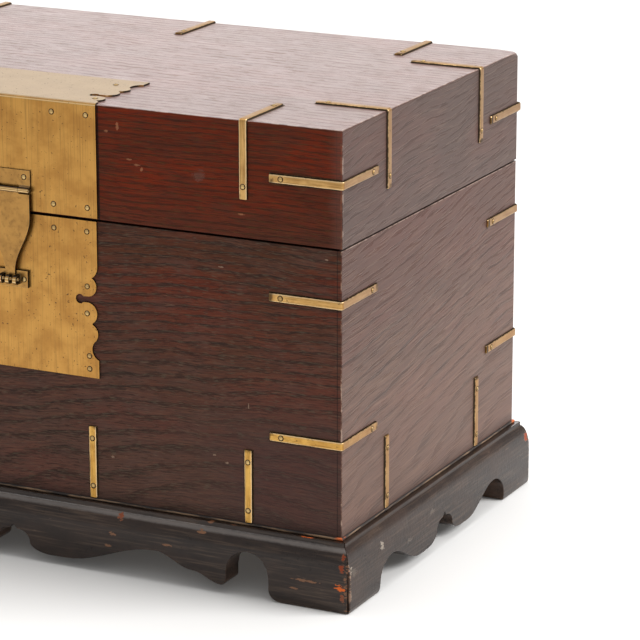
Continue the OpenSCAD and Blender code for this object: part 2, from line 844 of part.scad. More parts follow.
module hasp() {
  edge = hasp_edge();
  color(brass_tone) difference() {
    union() {
      at_hasp_pin() rotate([0, 90, 0])
        cylinder(h = hasp_knuckle_w - knuckle_gap, r = knuckle_r, center = true);
      translate([0, -hasp_axis_y, hasp_axis_z]) rotate([-90, 0, 0])
        linear_extrude(hasp_t, center = true)
          polygon(concat(edge, mirrored(edge)));
      translate([0, -eye_y, eye_z]) rotate([0, 90, 0])
        cylinder(h = eye_t, r = eye_outer, center = true);
    }
    eye_bore();
    at_hasp_pin() rotate([0, 90, 0]) cylinder(h = 2 * hasp_half, r = bore_r, center = true);
  }
}

// Every nail that holds brass to the case.
module case_nails() {
  color(brass_tone) {
    for (x = [-1, 1], y = [-1, 1], drop = [upper_strap_drop, lower_strap_drop])
      at_case_corner(x, y, drop) bent_strap_nails();
    for (side = [front, right, back, left]) at_feet(side) at_strip_nails() nail(strap_t);
    at_lock_plate_nails() nail(plate_t);
    at_staple_nails() nail(plate_t + staple_base_t);
    for (side = [-1, 1]) at_hinge(side) mirror([0, 0, 1]) leaf_nails(half_d - hinge_axis_y);
  }
}

module leaf_nails(face) {
  at_leaf_nails(hinge_w, leaf_h) translate([0, face, 0]) rotate([-90, 0, 0]) nail(leaf_t);
}

// Every nail that holds brass to the lid.
module lid_nails() {
  color(brass_tone) {
    for (x = [-1, 1], y = [-1, 1]) at_lid_corner(x, y) bent_strap_nails();
    for (place = edge_places) over_edge(place[0], place[1]) bent_strap_nails();
    at_lid_plate_nails() nail(plate_t);
    at_hasp_leaf_nails() nail(plate_t + leaf_t);
    for (side = [-1, 1]) at_hinge(side) leaf_nails(lid_half_d - hinge_axis_y);
  }
}

rail(front);  // plinth_front_rail
rail(back);  // plinth_back_rail
rail(left);  // plinth_left_rail
rail(right);  // plinth_right_rail
plinth_corner_blocks();
bead_strip(front);  // bead_front_strip
bead_strip(back);  // bead_back_strip
bead_strip(left);  // bead_left_strip
bead_strip(right);  // bead_right_strip
case_board(front);  // case_front_board
case_board(back);  // case_back_board
case_board(left);  // case_left_board
case_board(right);  // case_right_board
case_floor_board();
lock_plate();
lock_staple();
at_case_corner(1, -1, upper_strap_drop) bent_strap();  // case_strap_front_right_upper
at_case_corner(1, -1, lower_strap_drop) bent_strap();  // case_strap_front_right_lower
at_case_corner(-1, -1, upper_strap_drop) bent_strap();  // case_strap_front_left_upper
at_case_corner(-1, -1, lower_strap_drop) bent_strap();  // case_strap_front_left_lower
at_case_corner(1, 1, upper_strap_drop) bent_strap();  // case_strap_back_right_upper
at_case_corner(1, 1, lower_strap_drop) bent_strap();  // case_strap_back_right_lower
at_case_corner(-1, 1, upper_strap_drop) bent_strap();  // case_strap_back_left_upper
at_case_corner(-1, 1, lower_strap_drop) bent_strap();  // case_strap_back_left_lower
foot_strips(front);  // foot_strips_front
foot_strips(back);  // foot_strips_back
foot_strips(left);  // foot_strips_left
foot_strips(right);  // foot_strips_right
case_hinge_leaf(-1);  // case_hinge_leaf_left
case_hinge_leaf(1);  // case_hinge_leaf_right
hinge_pin(-1);  // hinge_pin_left
hinge_pin(1);  // hinge_pin_right
case_nails();
lid_top_board();
lid_board(front);  // lid_front_board
lid_board(back);  // lid_back_board
lid_board(left);  // lid_left_board
lid_board(right);  // lid_right_board
lid_plate();
at_lid_corner(1, -1) bent_strap();  // lid_strap_front_right
at_lid_corner(-1, -1) bent_strap();  // lid_strap_front_left
at_lid_corner(1, 1) bent_strap();  // lid_strap_back_right
at_lid_corner(-1, 1) bent_strap();  // lid_strap_back_left
edge_strap(0);  // edge_strap_front_right
edge_strap(1);  // edge_strap_front_left
edge_strap(2);  // edge_strap_right_front
edge_strap(3);  // edge_strap_right_back
edge_strap(4);  // edge_strap_left_front
edge_strap(5);  // edge_strap_left_back
edge_strap(6);  // edge_strap_back_right
edge_strap(7);  // edge_strap_back_middle
edge_strap(8);  // edge_strap_back_left
lid_hinge_leaf(-1);  // lid_hinge_leaf_left
lid_hinge_leaf(1);  // lid_hinge_leaf_right
hasp_leaf();
hasp_pin();
lid_nails();
hasp();
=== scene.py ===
"""Looks of the brass-mounted chest: an add-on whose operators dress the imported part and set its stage."""

import json
import math
from collections import namedtuple
from contextlib import contextmanager

import bpy
from bpy.props import FloatProperty, FloatVectorProperty, PointerProperty
from mathutils import Matrix, Vector

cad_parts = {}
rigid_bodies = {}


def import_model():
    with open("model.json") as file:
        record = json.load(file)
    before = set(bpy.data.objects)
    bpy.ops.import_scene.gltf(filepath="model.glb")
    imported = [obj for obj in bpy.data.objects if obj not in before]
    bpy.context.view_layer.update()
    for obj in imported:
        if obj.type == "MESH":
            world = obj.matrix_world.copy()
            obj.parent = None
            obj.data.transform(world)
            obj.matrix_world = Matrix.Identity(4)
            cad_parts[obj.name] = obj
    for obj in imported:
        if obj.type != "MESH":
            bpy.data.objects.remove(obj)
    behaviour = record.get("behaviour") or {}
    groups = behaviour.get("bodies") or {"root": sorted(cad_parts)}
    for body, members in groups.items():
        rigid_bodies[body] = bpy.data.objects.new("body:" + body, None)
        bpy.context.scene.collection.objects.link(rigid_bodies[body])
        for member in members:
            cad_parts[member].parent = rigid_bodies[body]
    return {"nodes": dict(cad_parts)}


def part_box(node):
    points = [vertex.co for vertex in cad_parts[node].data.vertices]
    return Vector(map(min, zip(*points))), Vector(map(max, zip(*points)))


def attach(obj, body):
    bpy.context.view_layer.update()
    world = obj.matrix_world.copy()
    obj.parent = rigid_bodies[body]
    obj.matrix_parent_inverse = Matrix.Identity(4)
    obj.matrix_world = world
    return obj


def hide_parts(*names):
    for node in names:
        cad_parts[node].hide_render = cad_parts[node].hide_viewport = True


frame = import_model()

bl_info = {
    "name": "Brass-mounted chest",
    "version": (1, 0, 0),
    "blender": (4, 5, 0),
    "location": "View3D > Sidebar > Chest",
    "description": "Gives the chest its boards, lacquer, brass mounts and a plain stage",
    "category": "Object",
}


# Sizes from the frame


def span(node, axis):
    """Length of a CAD node's box along one axis."""
    low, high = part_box(node)
    return high[axis] - low[axis]


HALF_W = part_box("case_right_board")[1][0]
HALF_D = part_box("case_back_board")[1][1]
CASE_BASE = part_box("case_front_board")[0][2]
LID_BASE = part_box("lid_front_board")[0][2]
LID_CORNER = (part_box("lid_right_board")[1][0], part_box("lid_back_board")[1][1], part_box("lid_top_board")[1][2])
LID_PLATE_HALF_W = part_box("lid_plate")[1][0]
PLINTH_HALF_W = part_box("plinth_right_rail")[1][0]
PLINTH_HALF_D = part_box("plinth_back_rail")[1][1]
BEAD_HALF_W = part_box("bead_right_strip")[1][0]
BEAD_HALF_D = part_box("bead_back_strip")[1][1]
STRAP_WIDTH = span("case_strap_front_right_upper", 2)
STRAP_THICKNESS = span("foot_strips_right", 0)
STRAP_ARM = span("case_strap_front_right_upper", 0) - STRAP_THICKNESS
STRIP_LENGTH = span("foot_strips_right", 2)

# Height of the groove under the lid, which is painted black as shade.
GAP = 0.0026
# How far the mitre line shows from a front board's end.
MITRE_IN = 0.0045
# Height of the line where the rails' moulding shines.
CROWN_HEIGHT = 0.0632
# Radius of the lid's rubbed corner.
RUBBED_RADIUS = 0.0065
# Thickness of the film of grime and painted shadow under straps, and under nails.
STRAP_FILM = 0.0002
NAIL_FILM = 0.00016
# Share of a strap's width left at its tip and at the foot of a straight one, and of its thickness at both.
TIP_WIDTH = 0.84
FOOT_WIDTH = 0.9
TIP_THICKNESS = 0.9
# Steps in which each arm of a strap is forged.
ARM_STEPS = 8
# Distance within which corners are one, in a CAD mesh and in a strap.
CAD_WELD = 0.00001
STRAP_WELD = 0.00002
# Angles below which faces are one, and above which edges are rounded, and stay sharp in shading.
FLAT_ANGLE = math.radians(0.4)
ROUND_ANGLE = math.radians(30)
SHARP_ANGLE = math.radians(35)


# Values on a surface


class Field:
    """A number that varies over a surface, written as plain arithmetic."""

    def __init__(self, look, socket):
        self.look = look
        self.socket = socket

    def __add__(self, other):
        return self.look.math("ADD", self, other)

    def __radd__(self, other):
        return self.look.math("ADD", other, self)

    def __sub__(self, other):
        return self.look.math("SUBTRACT", self, other)

    def __rsub__(self, other):
        return self.look.math("SUBTRACT", other, self)

    def __mul__(self, other):
        return self.look.math("MULTIPLY", self, other)

    def __rmul__(self, other):
        return self.look.math("MULTIPLY", other, self)

    def __truediv__(self, other):
        return self.look.math("DIVIDE", self, other)

    def __rtruediv__(self, other):
        return self.look.math("DIVIDE", other, self)

    def __pow__(self, other):
        return self.look.math("POWER", self, other)

    def __abs__(self):
        return self.look.math("ABSOLUTE", self)

    def least(self, other):
        """The smaller of two numbers, point by point."""
        return self.look.math("MINIMUM", self, other)

    def most(self, other):
        """The larger of two numbers, point by point."""
        return self.look.math("MAXIMUM", self, other)

    def part(self):
        """What a number has beyond its whole part."""
        return self.look.math("FRACT", self)

    def ramp(self, low, high):
        """Goes smoothly from 0 at low to 1 at high."""
        node = self.look.node(
            "ShaderNodeMapRange", {"interpolation_type": "SMOOTHSTEP"},
            **{"Value": self, "From Min": low, "From Max": high})
        return Field(self.look, node.outputs["Result"])

    def fall(self, low, high):
        """Goes smoothly from 1 at low to 0 at high."""
        return 1.0 - self.ramp(low, high)


def tone(code):
    """Linear colour of a six-digit display colour."""
    parts = [int(code[i:i + 2], 16) / 255 for i in (1, 3, 5)]
    linear = (p / 12.92 if p <= 0.04045 else ((p + 0.055) / 1.055) ** 2.4 for p in parts)
    return (*linear, 1.0)


class Look:
    """A material under construction, with one Principled shader and a colour that is laid on in coats."""

    def __init__(self, name, **constants):
        self.material = bpy.data.materials.new(name)
        self.material.use_nodes = True
        self.tree = self.material.node_tree
        self.shader = self.tree.nodes["Principled BSDF"]
        for socket, value in constants.items():
            self.shader.inputs[socket.replace("_", " ")].default_value = value
        self.place = self.node("ShaderNodeTexCoord")
        self.at = self.axes(self.place.outputs["Object"])
        self.x, self.y, self.z = self.at
        self.colour = None

    def node(self, kind, settings=None, **sockets):
        """Adds a node, with its settings first and then what its sockets take."""
        made = self.tree.nodes.new(kind)
        for name, value in (settings or {}).items():
            setattr(made, name, value)
        for name, value in sockets.items():
            self.feed(made.inputs[name], value)
        return made

    def feed(self, socket, value):
        """Links a value to a socket, or sets it; a colour may be given by its display code."""
        if isinstance(value, Field):
            value = value.socket
        if isinstance(value, bpy.types.NodeSocket):
            self.tree.links.new(value, socket)
        else:
            socket.default_value = tone(value) if isinstance(value, str) else value

    def math(self, operation, *values):
        """Works out a new number from others."""
        node = self.node("ShaderNodeMath", {"operation": operation})
        for socket, value in zip(node.inputs, values):
            self.feed(socket, value)
        return Field(self, node.outputs["Value"])

    def axes(self, vector):
        """The three numbers of a vector."""
        node = self.node("ShaderNodeSeparateXYZ", Vector=vector)
        return [Field(self, node.outputs[axis]) for axis in "XYZ"]

    def facing(self):
        """Object-space direction of the surface, as three numbers."""
        return self.axes(self.place.outputs["Normal"])

    def noise(self, at, cells, detail, rough, seed):
        """Soft noise between 0 and 1 at three numbers, with so many cells to the metre along each."""
        along, across, deep = (value * count for value, count in zip(at, cells))
        vector = self.node("ShaderNodeCombineXYZ", X=along, Y=across, Z=deep + seed)
        node = self.node(
            "ShaderNodeTexNoise", Vector=vector.outputs["Vector"], Scale=1.0, Detail=detail,
            Roughness=rough)
        return Field(self, node.outputs["Fac"])

    def even(self, cells, detail, rough, seed):
        """The same noise with as many cells along every axis."""
        return self.noise(self.at, (cells, cells, cells), detail, rough, seed)

    def mix(self, factor, first, second, kind="MIX"):
        """Mixes two colours. A Mix node has like-named sockets for every type, so these go by number."""
        node = self.node("ShaderNodeMix", {"data_type": "RGBA", "blend_type": kind})
        for number, value in ((0, factor), (6, first), (7, second)):
            self.feed(node.inputs[number], value)
        return node.outputs[2]

    def base(self, factor, first, second):
        """Starts the colour, from the first to the second."""
        self.colour = self.mix(factor, first, second)

    def lay(self, factor, colour):
        """Lays a coat over the colour."""
        self.colour = self.mix(factor, self.colour, colour)

    def spot(self, u, v, mark, ragged):
        """Ragged round mark, 1 inside and 0 outside, from its centre and its two half sizes."""
        far = ((u - mark[0]) / mark[2]) ** 2.0 + ((v - mark[1]) / mark[3]) ** 2.0
        return (far + ragged).fall(0.7, 1.1)

    def paint_shade(self, shade):
        """Paints shade: mixes in a plain dark diffuse shader where shade is 1."""
        shade_bsdf = self.node("ShaderNodeBsdfDiffuse", Color="#0d0908")
        both = self.node("ShaderNodeMixShader")
        for number, value in enumerate((shade, self.shader.outputs["BSDF"], shade_bsdf.outputs["BSDF"])):
            self.feed(both.inputs[number], value)
        self.feed(self.tree.nodes["Material Output"].inputs["Surface"], both.outputs["Shader"])

    def finish(self, rough, height=None, depth=0.0, coat=None):
        """Joins the colour and the other values to the shader, with a relief of so much depth."""
        self.feed(self.shader.inputs["Base Color"], self.colour)
        self.feed(self.shader.inputs["Roughness"], rough)
        if coat is not None:
            self.feed(self.shader.inputs["Coat Weight"], coat)
        if height is not None:
            bump = self.node("ShaderNodeBump", Height=height, Distance=depth)
            self.feed(self.shader.inputs["Normal"], bump.outputs["Normal"])
        return self.material


def kept_material(name, make, *values):
    """The material of this name, made by its function where it isn't there yet."""
    return bpy.data.materials.get(name) or make(*values)


# Wood


# Colours of a board: its brown, red and dull grounds, late wood, pale fibres, open pores, the ash in
# them and its worn edges.
Tones = namedtuple("Tones", "brown red dull late fibre pore ash worn")
TONES = {
    ("case", "front"): Tones(
        "#4b2919", "#5c2514", "#523c35", "#30231e", "#744c38", "#2a1f1a", "#5e5344", "#b0957f"),
    ("case", "side"): Tones(
        "#331e16", "#43221a", "#523b30", "#2b201c", "#745a4a", "#241a18", "#7c6858", "#c0a898"),
    ("lid", "front"): Tones(
        "#551e09", "#6d1f02", "#46281c", "#35190b", "#7a3210", "#2f180d", "#503c1c", "#b8805c"),
    ("lid", "side"): Tones(
        "#2c1b16", "#381c15", "#33241f", "#241b19", "#5a443a", "#1f1614", "#7c685a", "#c0a898"),
    ("lid", "top"): Tones(
        "#4c342e", "#543630", "#483833", "#3c3030", "#64504a", "#2a1e1d", "#5c4a44", "#b9a294"),
}

# How a board grew: where its pith lies across and behind its face, how its rings lean, wave and stray,
# their pitch and strength, the cells of its grain to the metre along and across, and its noise's start.
Figure = namedtuple("Figure", "pith tilt wave stray pitch strength run fine seed")
FIGURES = {
    ("case", "front"): Figure((0.03, -0.46), 0.0, 0.018, 1.0, 0.0078, 0.80, 80.0, 860.0, 1.0),
    ("case", "side"): Figure((0.03, 0.62), -0.10, 0.0, 1.0, 0.0078, 0.95, 25.0, 540.0, 1.0),
    ("lid", "front"): Figure((0.20, -0.30), 0.0, 0.0, 0.45, 0.0056, 0.30, 56.0, 1250.0, 51.0),
    ("lid", "side"): Figure((0.25, 0.56), -0.08, 0.0, 1.0, 0.0058, 0.70, 30.0, 560.0, 51.0),
    ("lid", "top"): Figure((-0.35, 0.60), 0.04, 0.0, 1.0, 0.0100, 0.25, 62.0, 900.0, 51.0),
}

# How strongly a face shows its pores, ash, grit and pale fibres, and how deep its relief is in metres.
Surface = namedtuple("Surface", "pores ash grit pale depth")
SURFACES = {
    "front": Surface(1.00, 1.00, 0.50, 0.35, 0.00022),
    "side": Surface(0.42, 0.42, 0.22, 0.35, 0.00016),
    "top": Surface(0.18, 0.50, 0.12, 0.22, 0.00005),
}
# Heights between which the dull tone at the foot of the case, and of the lid, fades out: painted light that makes
# the foot paler, like light bounced up from the floor.
BOUNCE_LIGHT_HEIGHTS = {"case": (0.10, 0.34), "lid": (0.355, 0.405)}
# Tint of the dusty sheen on each face.
DUST = {"front": (1.0, 0.80, 0.74, 1.0), "side": (1.0, 0.78, 0.705, 1.0), "top": (1.0, 0.80, 0.74, 1.0)}

# Marks on the front boards: place along X and Z, and half sizes.
FRONT_MARKS = (
    (0.1223, 0.4592, 0.0016, 0.0044), (0.1350, 0.4272, 0.0030, 0.0008),
    (0.1437, 0.4226, 0.0030, 0.0012), (0.1487, 0.4186, 0.0014, 0.0022),
    (0.1099, 0.4531, 0.0020, 0.0012), (0.2577, 0.3857, 0.0035, 0.0008),
    (0.2343, 0.3303, 0.0030, 0.0007), (0.1098, 0.1189, 0.0018, 0.0012),
    (0.2388, 0.1314, 0.0020, 0.0010), (0.3481, 0.3505, 0.0020, 0.0007),
    (0.2633, 0.1934, 0.0006, 0.0030), (0.2253, 0.1377, 0.0018, 0.0007),
)
KNOT = (0.2120, 0.4197, 0.0070, 0.0065)
# Old nail hole in the top: place along X and Y, and half sizes.
NAIL_HOLE = (0.3316, 0.1790, 0.0030, 0.0022)

# Late wood, breaks and fibres of a board, dashes and flecks of its pores, large and small blotches, scuffs.
Grain = namedtuple("Grain", "late broken fibres dash fleck patch mottle scuff")


def rings(look, figure, at):
    """How far the grain strays across a board, and the dark late wood of its rings."""
    along, across, deep = at
    drift = look.noise(at, (2.6, 5.5, 5.5), 2.0, 0.5, figure.seed) - 0.5
    sway = look.noise(at, (15.0, 24.0, 24.0), 3.0, 0.5, figure.seed + 3.1) - 0.5
    lean = along * figure.tilt + (drift * 0.035 + sway * 0.008) * figure.stray
    if figure.wave:
        lean = lean - look.math("SINE", along * 5.2) * look.z.fall(0.20, 0.36) * figure.wave
    pith_across, pith_deep = figure.pith
    far = ((across - pith_across) ** 2.0 + (deep - pith_deep) ** 2.0) ** 0.5
    phase = ((far + lean) / figure.pitch).part()
    return lean, phase.ramp(0.40, 0.86) * phase.fall(0.90, 1.0)


def grown(look, part, face):
    """Rings, fibres, pores and blotches of one kind of board."""
    figure = FIGURES[part, face]
    seed, run, fine = figure.seed, figure.run, figure.fine
    at = {
        "front": (look.x, look.z, look.y),
        "side": (look.y, look.z, look.x),
        "top": (look.x, look.y, look.z),
    }[face]
    along, across, deep = at
    lean, late = rings(look, figure, at)
    lane = (along, across + lean, deep)
    broken = look.noise(lane, (run * 0.4, fine * 0.28, 20.0), 2.0, 0.6, seed + 11.3)
    fibres = look.noise(lane, (run * 0.5, fine * 0.93, 20.0), 3.0, 0.6, seed + 7.7)
    dashes = look.noise(lane, (run * 1.2, fine, 20.0), 1.0, 0.4, seed + 17.9)
    flecks = look.noise(lane, (run * 1.3, fine * 1.05, 20.0), 1.0, 0.4, seed + 19.3)
    patch = look.noise(at, (6.0, 16.0, 16.0), 4.0, 0.6, seed + 23.0)
    mottle = look.noise(at, (26.0, 60.0, 60.0), 4.0, 0.65, seed + 29.0)
    scuff = look.noise(look.at, (90.0, 90.0, 60.0), 4.0, 0.7, seed + 37.0)
    dash = (dashes + late * 0.20 + (broken - 0.5) * 0.12).ramp(0.60, 0.72)
    fleck = (flecks + late * 0.10).ramp(0.60, 0.72)
    if face == "side":
        # A side's figure is faint at its foot.
        clear = look.z.ramp(0.10, 0.30) * (1.0 if part == "case" else 0.55)
        late = late * (0.5 + clear * 0.5)
        dash = dash * (0.45 + clear * 0.55)
        fleck = fleck * clear
    elif part == "case":
        # The front's is calmer low on its right.
        clear = 1.0 - look.x.ramp(0.10, 0.26) * look.z.fall(0.15, 0.23) * 0.5
        late = late * clear
        dash = dash * clear
    return Grain(late, broken, fibres, dash, fleck, patch, mottle, scuff)


def stained(look, part, face, grain, settings):
    """Colours of the wood itself, from its ground to its pores, and the case front's darker low right, with
    painted light that makes the foot of fronts and sides paler.
    """
    tones, surface = TONES[part, face], SURFACES[face]
    look.base(grain.patch.ramp(0.38, 0.66), tones.brown, tones.red)
    look.lay(grain.mottle.ramp(0.40, 0.75) * 0.6, tones.dull)
    if face != "top":
        # Painted light: a paler, duller tone towards the foot, like light bounced up from the floor.
        look.lay(look.z.fall(*BOUNCE_LIGHT_HEIGHTS[part]) * 0.65, tones.dull)
    look.lay(grain.late * grain.broken.ramp(0.30, 0.70) * FIGURES[part, face].strength, tones.late)
    look.lay(grain.fibres.fall(0.30, 0.52) * surface.grit, tones.late)
    look.lay(grain.fibres.ramp(0.47, 0.76) * surface.pale, tones.fibre)
    look.lay(grain.dash * (settings.dashes * surface.pores), tones.pore)
    look.lay(grain.fleck * (settings.flecks * surface.ash), tones.ash)
    if (part, face) == ("case", "front"):
        look.lay(look.x.ramp(0.19, 0.28) * look.z.fall(0.14, 0.22) * 0.35, "#382a2b")


def edge_distance(look, face):
    """How far a point lies from the nearest worn edge of its board."""
    across, deep = HALF_W - abs(look.x), HALF_D - abs(look.y)
    return across.least(deep) if face == "top" else across.most(deep)


def worn_edges(look, part, face, grain):
    """Pale rub along a board's edges, broken up by its scuffs."""
    edge = (edge_distance(look, face) - (grain.scuff - 0.5) * 0.006).fall(-0.0002, 0.0010)
    share = 0.42 if part == "case" else 0.25
    look.lay(edge * grain.scuff.ramp(0.44, 0.58) * share, TONES[part, face].worn)


def marked_front(look, part, grain):
    """Mitre line, scratches and knot of a front, and on the lid's front a painted shadow beside its plate and a
    painted highlight along its edges.
    """
    mitre = abs(HALF_W - MITRE_IN - abs(look.x)).fall(0.0002, 0.0009)
    look.lay(mitre * grain.mottle.ramp(0.30, 0.45) * (0.65 if part == "case" else 0.30), "#1c1210")
    marks = grain.scuff.ramp(0.76, 0.80)
    forward = look.y.fall(-0.10, 0.10)
    seed = FIGURES[part, "front"].seed
    ragged = (look.noise(look.at, (620.0, 1.0, 620.0), 2.0, 0.6, seed + 41.0) - 0.5) * 3.6
    for mark in FRONT_MARKS:
        marks = marks.most(look.spot(look.x, look.z, mark, ragged) * forward)
    look.lay(marks * 0.40, TONES[part, "front"].worn)
    knot = look.spot(look.x, look.z, KNOT, ragged)
    look.lay(knot * grain.mottle.ramp(0.42, 0.56) * forward * 0.50, "#6a4a40")
    if part == "lid":
        # Painted shadow: a dark line on the wood beside the lid's plate.
        plate_shadow = abs(abs(look.x) - LID_PLATE_HALF_W - 0.0009).fall(0.0006, 0.0016)
        look.lay(plate_shadow * forward * grain.mottle.ramp(0.25, 0.45) * 0.85, "#160d0a")
        # Painted highlight: a pale tone along the lid front's edges.
        haze = (edge_distance(look, "front") + (grain.mottle - 0.5) * 0.02).fall(0.0, 0.016)
        look.lay(haze * 0.35, "#6b4b42")


def marked_top(look, grain):
    """Faint stains of the top and its one old nail hole."""
    seed = FIGURES["lid", "top"].seed
    stain = look.noise(look.at, (17.0, 22.0, 1.0), 4.0, 0.62, seed + 43.0).ramp(0.50, 0.66)
    look.lay(stain * grain.broken.ramp(0.35, 0.65) * 0.28, "#33282a")
    hole = look.spot(look.x, look.y, NAIL_HOLE, (grain.scuff - 0.5) * 1.5)
    look.lay(hole * 0.8, "#241815")


def marked_case(look, face, grain):
    """Painted shade along the foot of the case, the side's darker upper part and worn rim, and the groove under
    the lid turned black as painted shade.
    """
    rise = look.z - (LID_BASE - GAP)
    # Painted shade, darker towards the plinth where the case meets it.
    foot = (look.z + (grain.mottle - 0.5) * 0.008).fall(CASE_BASE, CASE_BASE + 0.016)
    look.lay(foot * 0.40, "#1f1613")
    if face == "side":
        look.lay(look.z.ramp(0.20, 0.36) * 0.55, "#36170f")
        rim = abs(rise + 0.0005).fall(0.0002, 0.0008) * grain.scuff.ramp(0.40, 0.55)
        look.lay(rim * 0.30, TONES["case", "side"].worn)
    # Painted shade: the groove under the lid is turned black.
    look.paint_shade(rise.ramp(-0.0002, 0.0001))


def wood_material(part, face):
    """Figured hardwood whose fibres run along one axis, stained and worn."""
    scene = bpy.context.scene
    settings = scene.chest_case_wood if part == "case" else scene.chest_lid_wood
    look = Look(
        f"{part}_wood_{face}", Specular_IOR_Level=settings.gloss,
        Sheen_Weight=settings.front_haze if face == "front" else settings.haze,
        Sheen_Roughness=settings.haze_roughness, Sheen_Tint=DUST[face])
    grain = grown(look, part, face)
    stained(look, part, face, grain, settings)
    worn_edges(look, part, face, grain)
    if face == "front":
        marked_front(look, part, grain)
    elif face == "top":
        marked_top(look, grain)
    if part == "case":
        marked_case(look, face, grain)
    look.colour = look.mix(1.0, look.colour, settings.stain, "MULTIPLY")
    rough = settings.roughness + (grain.mottle - 0.5) * 0.16 + grain.dash * 0.2 - grain.fibres * 0.05
    height = grain.fibres * 0.3 - grain.dash * 1.0 + grain.fleck * 0.4 + grain.mottle * 0.25
    return look.finish(rough, height, depth=SURFACES[face].depth)


def bare_wood_material():
    """Plain unstained softwood of the floor board and the glue blocks."""
    look = Look("bare_wood", Specular_IOR_Level=0.3)
    fine = look.noise(look.at, (9.0, 300.0, 300.0), 3.0, 0.6, 4.0)
    rings = look.noise(look.at, (2.0, 34.0, 34.0), 2.0, 0.5, 9.0)
    dirt = look.even(12.0, 4.0, 0.6, 14.0)
    look.base(rings.ramp(0.35, 0.7), "#a07c55", "#7d5b3a")
    look.lay(fine.ramp(0.4, 0.8) * 0.5, "#5f4229")
    look.lay(dirt.ramp(0.45, 0.8) * 0.5, "#4a372a")
    return look.finish(0.75 + (dirt - 0.5) * 0.2, fine, depth=0.0003)


# Lacquer


# Chips of the front rail: place along X and Z, half sizes, and how far the bright ground shows.
FRONT_CHIPS = (
    (0.3690, 0.0267, 0.0062, 0.0042, 1.00), (0.3712, 0.0470, 0.0036, 0.0050, 0.65),
    (0.3722, 0.0570, 0.0030, 0.0040, 0.55), (0.3722, 0.0170, 0.0030, 0.0050, 0.45),
    (0.1237, 0.0610, 0.0050, 0.0040, 0.46), (0.2236, 0.0715, 0.0034, 0.0034, 0.36),
    (0.2156, 0.0600, 0.0066, 0.0026, 0.27), (0.1781, 0.0410, 0.0085, 0.0012, 0.30),
    (0.1153, 0.0430, 0.0055, 0.0024, 0.28), (0.1103, 0.0300, 0.0050, 0.0018, 0.24),
    (0.3330, 0.0285, 0.0170, 0.0016, 0.30), (0.3194, 0.0190, 0.0060, 0.0012, 0.25),
    (-0.0400, 0.0580, 0.0090, 0.0018, 0.40), (-0.1620, 0.0450, 0.0060, 0.0016, 0.40),
    (-0.2900, 0.0520, 0.0080, 0.0020, 0.45), (-0.3420, 0.0280, 0.0100, 0.0016, 0.50),
    (-0.3700, 0.0480, 0.0040, 0.0060, 0.60),
)
# Chips on top of the front rail, in the same order with the distance from the middle for Z.
LEDGE_CHIPS = ((0.3281, 0.2170, 0.0095, 0.0016, 0.90), (0.2480, 0.2165, 0.0030, 0.0012, 0.40))
# Chips of the right rail, in the same order with Y for X.
SIDE_CHIPS = (
    (0.2190, 0.0530, 0.0060, 0.0052, 0.66), (-0.1470, 0.0480, 0.0026, 0.0050, 0.15),
    (-0.2200, 0.0440, 0.0030, 0.0060, 0.25), (-0.2235, 0.0180, 0.0040, 0.0060, 0.20),
    (-0.1488, 0.0478, 0.0050, 0.0052, 0.26), (-0.2133, 0.0403, 0.0080, 0.0040, 0.12),
    (-0.0855, 0.0327, 0.0070, 0.0030, 0.12), (-0.0310, 0.0449, 0.0080, 0.0036, 0.12),
)


def chipped(look, front, corner, wear, flake):
    """How far the lacquer is gone: rubbed along the corners, and chipped where the photo shows it."""
    worn = corner * (wear * 0.5 + flake * 0.5).ramp(0.50, 0.60) * 0.55
    ragged = (flake - 0.45) * 4.5 + (wear - 0.45) * 3.0
    along = look.x if front else look.y
    seen = look.y.fall(-0.18, -0.17) if front else look.x.ramp(0.30, 0.31)
    for chip in FRONT_CHIPS if front else SIDE_CHIPS:
        worn = worn.most(look.spot(along, look.z, chip, ragged) * seen * chip[4])
    if front:
        ledge = look.facing()[2].ramp(0.6, 0.9) * seen
        for chip in LEDGE_CHIPS:
            worn = worn.most(look.spot(along, abs(look.y), chip, ragged) * ledge * chip[4])
    return worn


